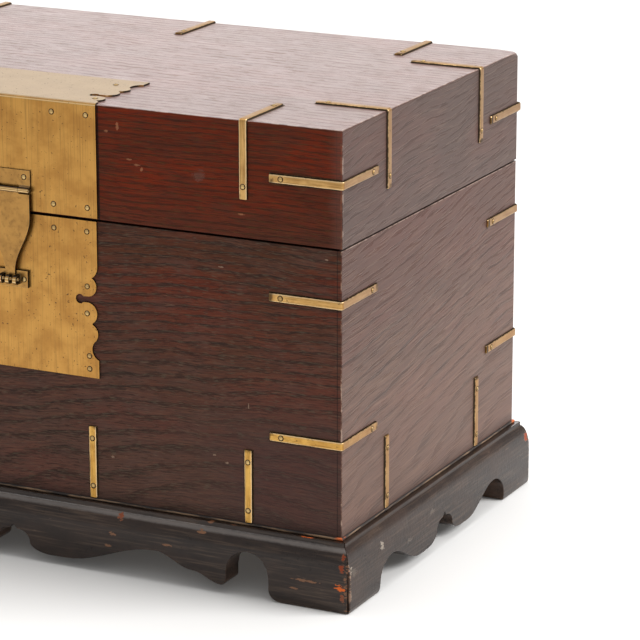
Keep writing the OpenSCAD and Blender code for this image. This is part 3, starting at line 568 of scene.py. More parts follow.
def lacquer_material(face):
    """Old dark lacquer over a red ground, rubbed and chipped on its edges, with a painted highlight along the
    front rail's crown.
    """
    settings = bpy.context.scene.chest_lacquer
    front = face == "front"
    look = Look(
        f"lacquer_{face}", Specular_IOR_Level=settings.gloss, Coat_Roughness=settings.coat_roughness)
    at = (look.x, look.z, look.y) if front else (look.y, look.z, look.x)
    fibres = look.noise(at, (18.0, 420.0, 420.0), 3.0, 0.6, 2.0)
    clouds = look.noise(at, (18.0, 30.0, 30.0), 4.0, 0.65, 5.0)
    grit = look.even(260.0, 3.0, 0.6, 8.0)
    wear = look.noise(look.at, (110.0, 110.0, 190.0), 4.0, 0.7, 11.0)
    flake = look.noise(at, (170.0, 520.0, 200.0), 3.0, 0.65, 15.0)
    rub = look.noise(at, (60.0, 360.0, 200.0), 3.0, 0.6, 21.0)
    look.base(clouds.ramp(0.35, 0.7) * 0.7, settings.lacquer, settings.thin)
    look.lay(fibres.ramp(0.45, 0.75) * (0.32 if front else 0.22), settings.dust)
    end = abs(look.facing()[0 if front else 1]).ramp(0.45, 0.9)
    look.lay(end * clouds.ramp(0.25, 0.6) * 0.5, "#5a4030")
    crown = abs(look.z - CROWN_HEIGHT + (flake - 0.5) * 0.002)
    if front:
        coat = settings.coat
        # Painted highlight: a pale grey band along the front rail's crown.
        look.lay(crown.fall(0.0006, 0.0034) * (0.33 + clouds * 0.48), "#76706d")
    else:
        coat = settings.coat * (0.60 - crown.fall(0.003, 0.008) * 0.45)
    corner = ((PLINTH_HALF_W - abs(look.x)) + (PLINTH_HALF_D - abs(look.y))).fall(0.001, 0.009)
    worn = chipped(look, front, corner, wear, flake)
    tan = "#74513a" if front else look.mix(corner, "#80766a", "#74513a")
    scratch = rub.ramp(0.66, 0.72) * clouds.ramp(0.5, 0.6) * 0.5
    low = (look.z + (wear - 0.5) * 0.008).fall(0.0005, 0.0035) * wear.ramp(0.4, 0.55) * 0.5
    look.lay(scratch.most(low), settings.dust)
    look.lay(worn.ramp(0.05, 0.28), tan)
    look.lay(worn.ramp(0.32, 0.55), settings.ground)
    look.lay(worn.ramp(0.62, 0.95), settings.chip)
    rough = settings.roughness + (clouds - 0.5) * 0.18 + worn * 0.3 + grit * 0.06
    height = grit * 0.25 + fibres * 0.25 + clouds * 0.5 - worn * 0.9
    return look.finish(rough, height, depth=0.0003 if front else 0.0007, coat=(1.0 - worn) * coat)


def bead_material(face):
    """Lacquer of the half-round bead, rubbed down to tan wood along its nose."""
    look = Look(f"bead_{face}", Specular_IOR_Level=0.4)
    front = face == "front"
    along, reach, half = (look.x, look.y, HALF_D) if front else (look.y, look.x, HALF_W)
    rub = look.noise((along, look.z, reach), (30.0, 260.0, 90.0), 4.0, 0.6, 31.0)
    grit = look.even(300.0, 2.0, 0.6, 33.0)
    nose = (abs(reach) - half + (rub - 0.5) * 0.0020).ramp(0.0016, 0.0022)
    look.base(nose * rub.ramp(0.40, 0.62) * (0.8 if front else 0.55), "#1d1512", "#84694f")
    look.lay(grit.ramp(0.6, 0.8) * 0.5, "#5b402d")
    corner = ((BEAD_HALF_W - abs(look.x)) + (BEAD_HALF_D - abs(look.y))).fall(0.0044, 0.0104)
    look.lay(corner * rub.ramp(0.40, 0.52) * 0.9, "#b4551f")
    return look.finish(0.55 + grit * 0.2, grit, depth=0.0003)


# Brass


# Colours of brass, for the closure and hinges and for the nails; the plates' are settings.
Metal = namedtuple("Metal", "bright patina streak dirt")
MOUNT_METAL = Metal("#bd8d48", "#a2763a", "#795628", "#22170e")
NAIL_METAL = Metal("#dcbc7c", "#bb975c", "#80633a", "#2c1f12")


def plate_metal():
    """Colours of the plates' brass as they are set."""
    settings = bpy.context.scene.chest_brass
    return Metal(settings.bright, settings.patina, settings.streak, settings.dirt)


def brass_material(name, brush, metal, flats=""):
    """Aged satin brass, brushed or not; darker where it turns from the axes that its flats look along, as dirt and
    painted shade, with a painted highlight on the bevel, and faces turned up or aside painted duller as shade.
    """
    settings = bpy.context.scene.chest_brass
    look = Look(name, Metallic=1.0, Coat_Roughness=settings.coat_roughness)
    cells = {"upright": (600.0, 600.0, 12.0), "none": (200.0, 200.0, 200.0)}[brush]
    streaks = look.noise(look.at, cells, 3.0, 0.6, 3.0)
    clouds = look.even(38.0, 4.0, 0.6, 6.0)
    pits = look.even(420.0, 2.0, 0.5, 9.0)
    spots = look.even(150.0, 3.0, 0.6, 12.0)
    look.base(clouds.ramp(0.35, 0.68), metal.bright, metal.patina)
    look.lay(streaks.ramp(0.45, 0.8) * settings.streaks, metal.streak)
    dirt = (pits.ramp(0.68, 0.74) * 0.8).most(spots.ramp(0.70, 0.78) * 0.7)
    if flats:
        out = [abs(look.facing()["xyz".index(axis)]) for axis in flats]
        flat = out[0].most(out[-1])
        # Faces turned from the flats are darkened, as dirt and painted shade.
        dirt = dirt.most(flat.fall(0.55, 0.9))
        # Painted highlight on the bevel.
        look.lay(flat.ramp(0.86, 0.93) * flat.fall(0.97, 0.998) * 0.8, "#f2d7a2")
    # Painted shade: faces turned up are dulled, toning down their reflection.
    upward = look.facing()[2].ramp(0.6, 0.95)
    look.lay(upward * 0.9, "#89785f")
    # Painted shade: faces turned to the sides are darker.
    sideways = abs(look.facing()[0]).ramp(0.35, 0.85)
    look.lay(sideways * 0.75, "#64462a")
    look.lay(dirt, metal.dirt)
    rough = settings.roughness + (clouds - 0.5) * 0.14 + streaks * 0.1 + dirt * 0.3 + upward * 0.4
    height = streaks * 0.4 + clouds * 0.5 - pits.ramp(0.66, 0.74) * 0.6
    return look.finish(rough, height, depth=0.00012, coat=(1.0 - upward * 0.5) * settings.coat)


def strap_material():
    """Forged brass with streaks along each strap, a painted highlight on its sloped edges, dirt and painted shade
    along its edges and painted shade at its tips, and faces turned up or aside painted duller as shade.
    """
    settings = bpy.context.scene.chest_brass
    shape = bpy.context.scene.chest_straps
    look = Look("strap_brass", Metallic=1.0, Coat_Roughness=settings.coat_roughness)
    own = look.node("ShaderNodeAttribute", {"attribute_name": "strap_place"})
    along, across, _ = look.axes(own.outputs["Vector"])
    at = (along, across, look.x + look.y + look.z)
    streaks = look.noise(at, (40.0, 900.0, 3.0), 3.0, 0.6, 3.0)
    clouds = look.even(60.0, 4.0, 0.6, 6.0)
    spots = look.even(260.0, 3.0, 0.6, 12.0)
    height = look.z.ramp(0.12, 0.37)
    bright = look.mix(height, shape.low_metal, shape.high_metal)
    dull = look.mix(height, "#c49244", "#b98e54")
    look.base(clouds.ramp(0.35, 0.68), bright, dull)
    look.lay(streaks.ramp(0.42, 0.70) * 0.7, "#84602d")
    out = abs(across)
    # Painted highlight along the sloped edges.
    slope = (out + (streaks - 0.5) * 0.0008).ramp(shape.width * 0.32, shape.width * 0.36)
    look.lay(slope * 0.7, "#efd0a0")
    # Painted shade: faces turned up are dulled, toning down their reflection.
    upward = look.facing()[2].ramp(0.6, 0.95)
    look.lay(upward * 0.9, "#82623a")
    # Painted shade: faces turned to the sides are darker.
    sideways = abs(look.facing()[0]).ramp(0.6, 0.95)
    look.lay(sideways * 0.70, look.mix(height, "#84592a", "#795635"))
    # Dark edges and tips: dirt with painted shade along the edges, and painted shade at the tips and the far arms'
    # tips.
    rim = (out + (spots - 0.5) * 0.0008 + sideways * 0.0003).ramp(shape.width * 0.41, shape.width * 0.47)
    tip = along + (spots - 0.5) * 0.004
    end = tip.ramp(shape.arm - 0.0060, shape.arm - 0.0025) * clouds.ramp(0.40, 0.60)
    far_tip_shade = tip.ramp(shape.arm - 0.0050, shape.arm - 0.0030) * sideways * look.y.ramp(0.0, 0.05)
    dirt = (rim * 0.95).most(spots.ramp(0.64, 0.74) * 0.7).most(end * 0.7).most(far_tip_shade * 0.85)
    look.lay(dirt, settings.dirt)
    rough = settings.roughness + (clouds - 0.5) * 0.2 + streaks * 0.1 + dirt * 0.3 + upward * 0.15
    relief = streaks * 0.4 + clouds * 0.6 - dirt * 0.5
    return look.finish(rough, relief, depth=0.00015, coat=(1.0 - upward) * (settings.coat * 0.5))


def grime_and_shadow_material():
    """Dark grime round a nail head and along a strap, which also lays painted shadow where the brass meets the
    wood.
    """
    look = Look("nail_grime", Specular_IOR_Level=0.2)
    grit = look.even(500.0, 3.0, 0.6, 41.0)
    look.base(grit.ramp(0.35, 0.7), "#241910", "#4d3820")
    return look.finish(0.7 + grit * 0.2, grit, depth=0.0002)


# Pieces


def alone(piece):
    """Makes a piece the active and only selected object."""
    bpy.ops.object.select_all(action="DESELECT")
    bpy.context.view_layer.objects.active = piece
    piece.select_set(True)


@contextmanager
def editing(piece):
    """Edit mode on one object, with everything deselected before and after."""
    alone(piece)
    bpy.ops.object.mode_set(mode="EDIT")
    try:
        yield piece.data
    finally:
        bpy.ops.object.mode_set(mode="OBJECT")
        piece.select_set(False)


def linked(name, mesh, place=None):
    """New object on its own mesh, which is first moved to its place."""
    piece = bpy.data.objects.new(name, mesh)
    mesh.name = name
    bpy.context.scene.collection.objects.link(piece)
    if place is not None:
        mesh.transform(place)
    return piece


def removed(piece):
    """Takes away a pattern or a probe, with its mesh."""
    mesh = piece.data
    bpy.data.objects.remove(piece)
    bpy.data.meshes.remove(mesh)


def copied(node, name):
    """Copy of a CAD node with its loose triangles joined into clean faces."""
    piece = linked(name, frame["nodes"][node].data.copy())
    piece.data.materials.clear()
    with editing(piece):
        bpy.ops.mesh.select_all(action="SELECT")
        bpy.ops.mesh.remove_doubles(threshold=CAD_WELD)
        bpy.ops.mesh.dissolve_limited(angle_limit=FLAT_ANGLE)
    return piece


def applied(piece, kind, **values):
    """Adds a modifier to a piece and applies it."""
    modifier = piece.modifiers.new(kind.lower(), kind)
    for name, value in values.items():
        setattr(modifier, name, value)
    alone(piece)
    bpy.ops.object.modifier_apply(modifier=modifier.name)
    piece.select_set(False)


def smoothed(piece):
    """Shades a piece smooth between its sharp edges and keeps its flat faces flat."""
    alone(piece)
    bpy.ops.object.shade_smooth_by_angle(angle=SHARP_ANGLE)
    piece.select_set(False)
    applied(piece, "WEIGHTED_NORMAL", keep_sharp=True, weight=100)


def rounded(piece, width, segments=2, clamp=True):
    """Rounds the sharp edges of a piece and shades it smooth."""
    if width:
        applied(
            piece, "BEVEL", width=width, segments=segments, limit_method="ANGLE",
            angle_limit=ROUND_ANGLE, use_clamp_overlap=clamp, miter_outer="MITER_ARC")
    smoothed(piece)


def worn_corner(piece):
    """Rubs the lid's right back corner round with small flat cuts."""
    centre = Vector(LID_CORNER) - Vector((RUBBED_RADIUS, RUBBED_RADIUS, RUBBED_RADIUS))
    with editing(piece):
        for rise in (0, 30, 60):
            for turn in (11, 34, 56, 79):
                up, aside = math.radians(rise), math.radians(turn)
                level = math.cos(up)
                way = Vector((math.cos(aside) * level, math.sin(aside) * level, math.sin(up)))
                bpy.ops.mesh.select_all(action="SELECT")
                bpy.ops.mesh.bisect(
                    plane_co=centre + way * RUBBED_RADIUS, plane_no=way, clear_outer=True, use_fill=True)


def fitted(piece, node):
    """Brings a piece back to the box of its CAD node where rounding has swelled it."""
    low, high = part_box(node)
    least, most = ([pick(v.co[i] for v in piece.data.vertices) for i in range(3)] for pick in (min, max))
    sizes = [(b - a) / (d - c) for a, b, c, d in zip(low, high, least, most)]
    piece.data.transform(
        Matrix.Translation(low) @ Matrix.Diagonal((*sizes, 1.0)) @ Matrix.Translation(-Vector(least)))


def shown(piece, body, node):
    """Shows a piece in its CAD node's place, on its body."""
    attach(piece, body)
    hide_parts(node)


def refined(node, body, material, width, segments=2, clamp=True):
    """A CAD node's own shape with rounded edges, shown in its place."""
    piece = copied(node, node + "_finished")
    if node in ("lid_top_board", "lid_right_board", "lid_back_board"):
        worn_corner(piece)
    rounded(piece, width, segments, clamp)
    if not clamp:
        fitted(piece, node)
    piece.data.materials.append(material)
    shown(piece, body, node)


def joined(pieces, name):
    """Joins pieces into one object."""
    bpy.ops.object.select_all(action="DESELECT")
    for piece in pieces:
        piece.select_set(True)
    bpy.context.view_layer.objects.active = pieces[0]
    bpy.ops.object.join()
    whole = bpy.context.view_layer.objects.active
    whole.name = name
    whole.data.name = name
    whole.select_set(False)
    return whole


# Straps


OUTWARD = {"front": (0, -1, 0), "right": (1, 0, 0), "back": (0, 1, 0), "left": (-1, 0, 0)}


def swept(move, steps):
    """Extrudes what is selected in edit mode in equal steps."""
    for _ in range(steps):
        bpy.ops.mesh.extrude_region_move(TRANSFORM_OT_translate={"value": [part / steps for part in move]})


def narrowed(*value):
    """Scales what is selected in edit mode about the origin."""
    bpy.ops.transform.resize(value=value, center_override=(0.0, 0.0, 0.0))


def choose(piece, test):
    """Selects the vertices of a piece in object mode by their places."""
    for polygon in piece.data.polygons:
        polygon.select = False
    for edge in piece.data.edges:
        edge.select = False
    for vertex in piece.data.vertices:
        vertex.select = test(vertex.co)


def strap_section(name, start):
    """Plain cross-section of a strap, standing at its start along +X."""
    shape = bpy.context.scene.chest_straps
    bpy.ops.mesh.primitive_plane_add(size=1.0, rotation=(0.0, math.pi / 2, 0.0))
    strap = bpy.context.active_object
    strap.name = name
    bpy.ops.object.transform_apply(location=True, rotation=True, scale=True)
    with editing(strap):
        bpy.ops.mesh.select_mode(type="VERT")
        bpy.ops.mesh.select_all(action="SELECT")
        bpy.ops.transform.resize(value=(1.0, shape.width, shape.thickness))
        bpy.ops.transform.translate(value=(start, 0.0, shape.thickness / 2))
    return strap


def forge(strap, arm, inner, bent):
    """Slopes a cross-section's outer corners and draws it out, and round a bend into a second arm."""
    shape = bpy.context.scene.chest_straps
    tip = shape.tip
    choose(strap, lambda at: at.z > shape.thickness / 2)
    with editing(strap):
        bpy.ops.mesh.bevel(offset=shape.bevel, segments=2, profile=0.45, affect="VERTICES")
        bpy.ops.mesh.select_all(action="SELECT")
        swept((arm - inner - tip, 0.0, 0.0), ARM_STEPS)
        swept((tip, 0.0, 0.0), 1)
        narrowed(1.0, TIP_WIDTH, TIP_THICKNESS)
    choose(strap, lambda at: abs(at.x - inner) < 1e-6)
    with editing(strap):
        if bent:
            bpy.ops.mesh.spin(
                steps=6, angle=math.pi / 2, center=(inner, 0.0, -inner), axis=(0.0, 1.0, 0.0))
            swept((0.0, 0.0, inner + tip - arm), ARM_STEPS)
            swept((0.0, 0.0, -tip), 1)
            narrowed(TIP_THICKNESS, TIP_WIDTH, 1.0)
        else:
            narrowed(1.0, FOOT_WIDTH, TIP_THICKNESS)
    with editing(strap):
        bpy.ops.mesh.select_all(action="SELECT")
        bpy.ops.mesh.remove_doubles(threshold=STRAP_WELD)
        bpy.ops.mesh.dissolve_degenerate(threshold=STRAP_WELD)
        bpy.ops.mesh.normals_make_consistent(inside=False)
        bpy.ops.transform.vertex_random(offset=shape.uneven, seed=3)
    rounded(strap, shape.edge)


def measure(strap):
    """Stores how far along and across its strap each point lies, for the brass's streaks."""
    lengths = strap.data.attributes.new("strap_place", "FLOAT_VECTOR", "POINT")
    for vertex, value in zip(strap.data.vertices, lengths.data):
        at = vertex.co
        value.vector = (max(at.x, 0.0) - min(at.z, 0.0), at.y, 0.0)


def made_strap(name, bent):
    """One forged strap on the plane z = 0: an arm along +X, and one down -Z where it is bent."""
    shape = bpy.context.scene.chest_straps
    arm, inner = (shape.arm, shape.bend) if bent else (shape.strip, 0.0)
    strap = strap_section(name, inner)
    forge(strap, arm, inner, bent)
    strap.data.materials.append(kept_material("strap_brass", strap_material))
    turns = [Matrix(), Matrix.Rotation(math.pi / 2, 4, "Y")] if bent else [Matrix()]
    whole = joined([strap, *(made_grime_and_shadow(arm, turn) for turn in turns)], name)
    measure(whole)
    return whole


def made_grime_and_shadow(arm, turn):
    """Thin line of grime and painted shadow round one arm of a strap, which starts beyond the bend and outruns the
    tip.
    """
    shape = bpy.context.scene.chest_straps
    start, end = 0.0025, arm + 0.0005
    bpy.ops.mesh.primitive_cube_add(size=1.0)
    dirt = bpy.context.active_object
    with editing(dirt):
        bpy.ops.mesh.select_all(action="SELECT")
        bpy.ops.transform.resize(value=(end - start, shape.width + 2 * shape.dirt, STRAP_FILM))
        bpy.ops.transform.translate(value=((start + end) / 2, 0.0, STRAP_FILM / 2))
    dirt.data.transform(turn)
    dirt.data.materials.append(kept_material("nail_grime", grime_and_shadow_material))
    return dirt


def strap_copy(pattern, name, origin, along, outward):
    """Copy of the pattern strap, its arm running along one way and its face turned outward."""
    along, outward = Vector(along), Vector(outward)
    turn = Matrix((along, outward.cross(along), outward)).transposed().to_4x4()
    return linked(name, pattern.data.copy(), Matrix.Translation(Vector(origin)) @ turn)


def corner_strap(pattern, node, body):
    """Stands for a CAD strap that is bent round an upright corner."""
    low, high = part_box(node)
    thick = bpy.context.scene.chest_straps.thickness
    across = 1 if low[0] + high[0] > 0 else -1
    deep = 1 if low[1] + high[1] > 0 else -1
    edge = [(high if sign > 0 else low)[i] - sign * thick for i, sign in ((0, across), (1, deep))]
    origin = (*edge, (low[2] + high[2]) / 2)
    shown(strap_copy(pattern, node + "_forged", origin, (-across, 0, 0), (0, deep, 0)), body, node)


def edge_strap(pattern, node):
    """Stands for a CAD strap that is bent over the lid's top edge."""
    low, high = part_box(node)
    thick = bpy.context.scene.chest_straps.thickness
    way = Vector(OUTWARD[node.split("_")[2]])
    origin = [(low[0] + high[0]) / 2, (low[1] + high[1]) / 2, high[2] - thick]
    axis = 0 if way.x else 1
    origin[axis] = (high[axis] if way[axis] > 0 else low[axis]) - way[axis] * thick
    shown(strap_copy(pattern, node + "_forged", origin, -way, (0, 0, 1)), "lid", node)


def foot_strips(pattern, node, count):
    """Stands for the CAD strips along the foot of one side of the case."""
    low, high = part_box(node)
    shape = bpy.context.scene.chest_straps
    way = Vector(OUTWARD[node.split("_")[2]])
    axis = 1 if way.x else 0
    step = (high[axis] - low[axis] - shape.width) / (count - 1)
    strips = []
    for number in range(count):
        origin = [0.0, 0.0, low[2]]
        origin[axis] = low[axis] + shape.width / 2 + number * step
        origin[1 - axis] = (high if sum(way) > 0 else low)[1 - axis] - sum(way) * shape.thickness
        strips.append(strap_copy(pattern, "strip", origin, (0, 0, 1), way))
    shown(joined(strips, node + "_forged"), "case", node)


# Nails


def nail_places(node):
    """Centre of each nail head's rim and the way that its dome faces, from the CAD nails."""
    probe = copied(node, node + "_probe")
    with editing(probe):
        bpy.ops.mesh.select_all(action="SELECT")
        bpy.ops.mesh.separate(type="LOOSE")
    others = [o for o in bpy.context.scene.objects if o.name.startswith(node + "_probe") and o != probe]
    places = []
    for part in (probe, *others):
        points = [v.co.copy() for v in part.data.vertices]
        low, high = (Vector([pick(p[i] for p in points) for i in range(3)]) for pick in (min, max))
        centre = (low + high) / 2
        axis = max(range(3), key=lambda i: high[i] - low[i])
        widest = max(points, key=lambda p: sum((p[i] - centre[i]) ** 2 for i in range(3) if i != axis))
        rim = centre.copy()
        rim[axis] = widest[axis]
        way = Vector((0.0, 0.0, 0.0))
        way[axis] = 1.0 if widest[axis] > centre[axis] else -1.0
        places.append((rim, way))
        removed(part)
    return places


def made_nail():
    """One domed nail head on the plane z = 0, with the dark ring of grime and painted shadow round it."""
    settings = bpy.context.scene.chest_nails
    half, height = settings.radius, settings.height
    ball = (half * half + height * height) / (2 * height)
    bpy.ops.mesh.primitive_uv_sphere_add(
        segments=20, ring_count=14, radius=ball, location=(0, 0, height - ball))
    dome = bpy.context.active_object
    bpy.ops.object.transform_apply(location=True, rotation=True, scale=True)
    with editing(dome):
        bpy.ops.mesh.select_all(action="SELECT")
        bpy.ops.mesh.bisect(plane_co=(0, 0, 0), plane_no=(0, 0, 1), clear_inner=True, use_fill=True)
    bpy.ops.mesh.primitive_cylinder_add(
        vertices=20, radius=settings.dirt_radius, depth=NAIL_FILM, location=(0, 0, NAIL_FILM / 2))
    ring = bpy.context.active_object
    bpy.ops.object.transform_apply(location=True, rotation=True, scale=True)
    dome.data.materials.append(
        kept_material("nail_brass", brass_material, "nail_brass", "none", NAIL_METAL))
    ring.data.materials.append(kept_material("nail_grime", grime_and_shadow_material))
    nail = joined([dome, ring], "nail_pattern")
    for polygon in nail.data.polygons:
        polygon.use_smooth = True
    return nail


def nails(node, body):
    """Puts a copy of the one nail at every nail of a CAD node."""
    pattern = made_nail()
    up = Vector((0, 0, 1))
    copies = []
    for rim, way in nail_places(node):
        turn = up.rotation_difference(way).to_matrix().to_4x4()
        copies.append(linked("nail", pattern.data.copy(), Matrix.Translation(rim) @ turn))
    removed(pattern)
    shown(joined(copies, node + "_domed"), body, node)


# Settings


class WoodLook(bpy.types.PropertyGroup):
    """Finish of stained and waxed boards."""
    stain: FloatVectorProperty(
        name="Stain", description="Stain over all tones of the boards; white leaves them as they are",
        size=4, subtype="COLOR", default=(1.0, 1.0, 1.0, 1.0), min=0, max=1)
    gloss: FloatProperty(
        name="Gloss", description="Strength of the reflection",
        default=0.10, min=0, max=1, subtype="FACTOR")
    roughness: FloatProperty(
        name="Roughness", description="Roughness of the surface",
        default=0.38, min=0, max=1, subtype="FACTOR")
    haze: FloatProperty(
        name="Haze", description="Dusty sheen of the top and the sides",
        default=0.26, min=0, max=1, subtype="FACTOR")
    front_haze: FloatProperty(
        name="Front haze", description="Dusty sheen of the front and the back",
        default=0.04, min=0, max=1, subtype="FACTOR")
    haze_roughness: FloatProperty(
        name="Haze roughness", description="Spread of the sheen",
        default=0.45, min=0, max=1, subtype="FACTOR")
    dashes: FloatProperty(
        name="Dashes", description="Darkness of the open pores",
        default=0.54, min=0, max=1, subtype="FACTOR")
    flecks: FloatProperty(
        name="Flecks", description="Strength of the ash in the pores",
        default=0.38, min=0, max=1, subtype="FACTOR")


class LacquerLook(bpy.types.PropertyGroup):
    """Finish of the lacquered plinth."""
    lacquer: FloatVectorProperty(
        name="Lacquer", description="Dark lacquer where it is thick",
        size=4, subtype="COLOR", default=tone("#1f1612"), min=0, max=1)
    thin: FloatVectorProperty(
        name="Thin lacquer", description="Lacquer where it has worn thin",
        size=4, subtype="COLOR", default=tone("#34261f"), min=0, max=1)
    dust: FloatVectorProperty(
        name="Dust", description="Dust in the fibres and scratches",
        size=4, subtype="COLOR", default=tone("#6a5748"), min=0, max=1)
    ground: FloatVectorProperty(
        name="Ground", description="Red ground under the lacquer",
        size=4, subtype="COLOR", default=tone("#7c3318"), min=0, max=1)
    chip: FloatVectorProperty(
        name="Chip", description="Bright ground in the deepest chips",
        size=4, subtype="COLOR", default=tone("#cc622a"), min=0, max=1)
    gloss: FloatProperty(
        name="Gloss", description="Strength of the reflection",
        default=0.12, min=0, max=1, subtype="FACTOR")
    roughness: FloatProperty(
        name="Roughness", description="Roughness of the lacquer",
        default=0.27, min=0, max=1, subtype="FACTOR")
    coat: FloatProperty(
        name="Coat", description="Weight of the clear coat",
        default=0.36, min=0, max=1, subtype="FACTOR")
    coat_roughness: FloatProperty(
        name="Coat roughness", description="Roughness of the clear coat",
        default=0.13, min=0, max=1, subtype="FACTOR")
    edge: FloatProperty(
        name="Edge", description="Radius of the rails' worn edges", default=0.0008, unit="LENGTH")
    bead_edge: FloatProperty(
        name="Bead edge", description="Radius of the bead's edges", default=0.0002, unit="LENGTH")


class BrassLook(bpy.types.PropertyGroup):
    """Finish of the brass mounts."""
    bright: FloatVectorProperty(
        name="Brass", description="Brass of the two plates",
        size=4, subtype="COLOR", default=tone("#ca9649"), min=0, max=1)
    patina: FloatVectorProperty(
        name="Patina", description="Duller clouds on the plates",
        size=4, subtype="COLOR", default=tone("#b48039"), min=0, max=1)
    streak: FloatVectorProperty(
        name="Streak", description="Brushed streaks on the plates",
        size=4, subtype="COLOR", default=tone("#84602d"), min=0, max=1)
    # Along the edges, and at the strap tips, this colour also lays painted shade.
    dirt: FloatVectorProperty(
        name="Dirt", description="Dirt in the pits and along the edges",
        size=4, subtype="COLOR", default=tone("#22170e"), min=0, max=1)
    roughness: FloatProperty(
        name="Roughness", description="Roughness of the brass",
        default=0.34, min=0, max=1, subtype="FACTOR")
    coat: FloatProperty(
        name="Coat", description="Weight of the old clear coat",
        default=0.4, min=0, max=1, subtype="FACTOR")
    coat_roughness: FloatProperty(
        name="Coat roughness", description="Roughness of the clear coat",
        default=0.3, min=0, max=1, subtype="FACTOR")
    streaks: FloatProperty(
        name="Streaks", description="Strength of the brushed streaks",
        default=0.55, min=0, max=1, subtype="FACTOR")
    edge: FloatProperty(
        name="Edge", description="Radius of the plates' edges", default=0.0004, unit="LENGTH")


class StrapShape(bpy.types.PropertyGroup):
    """Shape and brass of the forged straps."""
    low_metal: FloatVectorProperty(
        name="Low brass", description="Brass of the straps near the foot",
        size=4, subtype="COLOR", default=tone("#dcad58"), min=0, max=1)
    high_metal: FloatVectorProperty(
        name="High brass", description="Brass of the straps near the lid",
        size=4, subtype="COLOR", default=tone("#d2a868"), min=0, max=1)
    width: FloatProperty(
        name="Width", description="Width of a strap", default=STRAP_WIDTH, unit="LENGTH")
    thickness: FloatProperty(
        name="Thickness", description="Thickness of a strap", default=STRAP_THICKNESS, unit="LENGTH")
    bevel: FloatProperty(
        name="Bevel", description="Width of the slope along both edges", default=0.0015, unit="LENGTH")
    edge: FloatProperty(
        name="Edge", description="Radius of the rubbed edges", default=0.0003, unit="LENGTH")
    tip: FloatProperty(
        name="Tip", description="Length of the rounded end", default=0.0009, unit="LENGTH")
    uneven: FloatProperty(
        name="Unevenness", description="How far the forging strays", default=0.00012, unit="LENGTH")
    # The line round a strap is grime and painted shadow.
    dirt: FloatProperty(
        name="Dirt", description="Width of the line of dirt round a strap", default=0.0009, unit="LENGTH")
    arm: FloatProperty(
        name="Arm", description="Length of each arm of a bent strap", default=STRAP_ARM, unit="LENGTH")
    strip: FloatProperty(
        name="Strip", description="Length of a foot strip", default=STRIP_LENGTH, unit="LENGTH")
    bend: FloatProperty(
        name="Bend", description="Inner radius of the bend", default=0.001, unit="LENGTH")


class NailShape(bpy.types.PropertyGroup):
    """Shape of a nail head."""
    radius: FloatProperty(
        name="Radius", description="Radius of a nail head", default=0.0026, unit="LENGTH")
    height: FloatProperty(
        name="Height", description="Height of a nail head", default=0.0013, unit="LENGTH")
    # The ring round a nail head is grime and painted shadow.
    dirt_radius: FloatProperty(
        name="Dirt radius", description="Radius of the dirt round a nail head",
        default=0.0030, unit="LENGTH")


class StageLook(bpy.types.PropertyGroup):
    """Camera, floor and light of the plain stage."""
    camera_place: FloatVectorProperty(
        name="Camera place", description="Where the camera stands", size=3, subtype="TRANSLATION",
        default=(1.6948155, -2.9548011, 1.1613251))
    camera_turn: FloatVectorProperty(
        name="Camera turn", description="How the camera is turned", size=3, subtype="EULER",
        default=(1.2934145, 0.0013123, 0.4580536))
    lens: FloatProperty(
        name="Lens", description="Focal length in millimetres", default=186.93018, min=1)
    floor_size: FloatProperty(
        name="Floor size", description="Length of the floor's sides", default=60.0, unit="LENGTH")
    light: FloatProperty(
        name="Light", description="Strength of the four lamps", default=1.0, min=0)
    surround: FloatProperty(
        name="Surround", description="Brightness all round", default=0.66, min=0)
    glow: FloatProperty(
        name="Glow", description="Faint light of the floor's own", default=0.035, min=0)
    air: FloatVectorProperty(
        name="Air", description="Light all round",
        size=4, subtype="COLOR", default=(1.0, 0.995, 0.985, 1.0), min=0, max=1)
    paper: FloatVectorProperty(
        name="Paper", description="Pale floor",
        size=4, subtype="COLOR", default=(0.605, 0.599, 0.590, 1.0), min=0, max=1)
    paper_shade: FloatVectorProperty(
        name="Paper shade", description="Slightly darker clouds on the floor",
        size=4, subtype="COLOR", default=(0.585, 0.579, 0.570, 1.0), min=0, max=1)


# Operators


SIDES = (("front", "front"), ("back", "front"), ("left", "side"), ("right", "side"))


class CHEST_OT_case_boards(bpy.types.Operator):
    """Finishes the four boards of the case"""
    bl_idname = "chest.case_boards"
    bl_label = "Case boards"

    def execute(self, context):
        for side, face in SIDES:
            wood = kept_material(f"case_wood_{face}", wood_material, "case", face)
            refined(f"case_{side}_board", "case", wood, 0.0)
        return {"FINISHED"}


class CHEST_OT_lid_boards(bpy.types.Operator):
    """Finishes the five boards of the lid"""
    bl_idname = "chest.lid_boards"
    bl_label = "Lid boards"

    def execute(self, context):
        for side, face in (*SIDES, ("top", "top")):
            wood = kept_material(f"lid_wood_{face}", wood_material, "lid", face)
            refined(f"lid_{side}_board", "lid", wood, 0.0)
        return {"FINISHED"}


class CHEST_OT_plinth(bpy.types.Operator):
    """Finishes the scalloped rails and the bead of the plinth"""
    bl_idname = "chest.plinth"
    bl_label = "Plinth"

    def execute(self, context):
        look = context.scene.chest_lacquer
        for side, face in SIDES:
            coat = kept_material(f"lacquer_{face}", lacquer_material, face)
            line = kept_material(f"bead_{face}", bead_material, face)
            refined(f"plinth_{side}_rail", "case", coat, look.edge, clamp=False)
            refined(f"bead_{side}_strip", "case", line, look.bead_edge, segments=1)
        return {"FINISHED"}


class CHEST_OT_inside(bpy.types.Operator):
    """Gives the floor board and the corner blocks their bare wood"""
    bl_idname = "chest.inside"
    bl_label = "Inside"

    def execute(self, context):
        bare = kept_material("bare_wood", bare_wood_material)
        for node in ("case_floor_board", "plinth_corner_blocks"):
            mesh = frame["nodes"][node].data
            mesh.materials.clear()
            mesh.materials.append(bare)
        return {"FINISHED"}


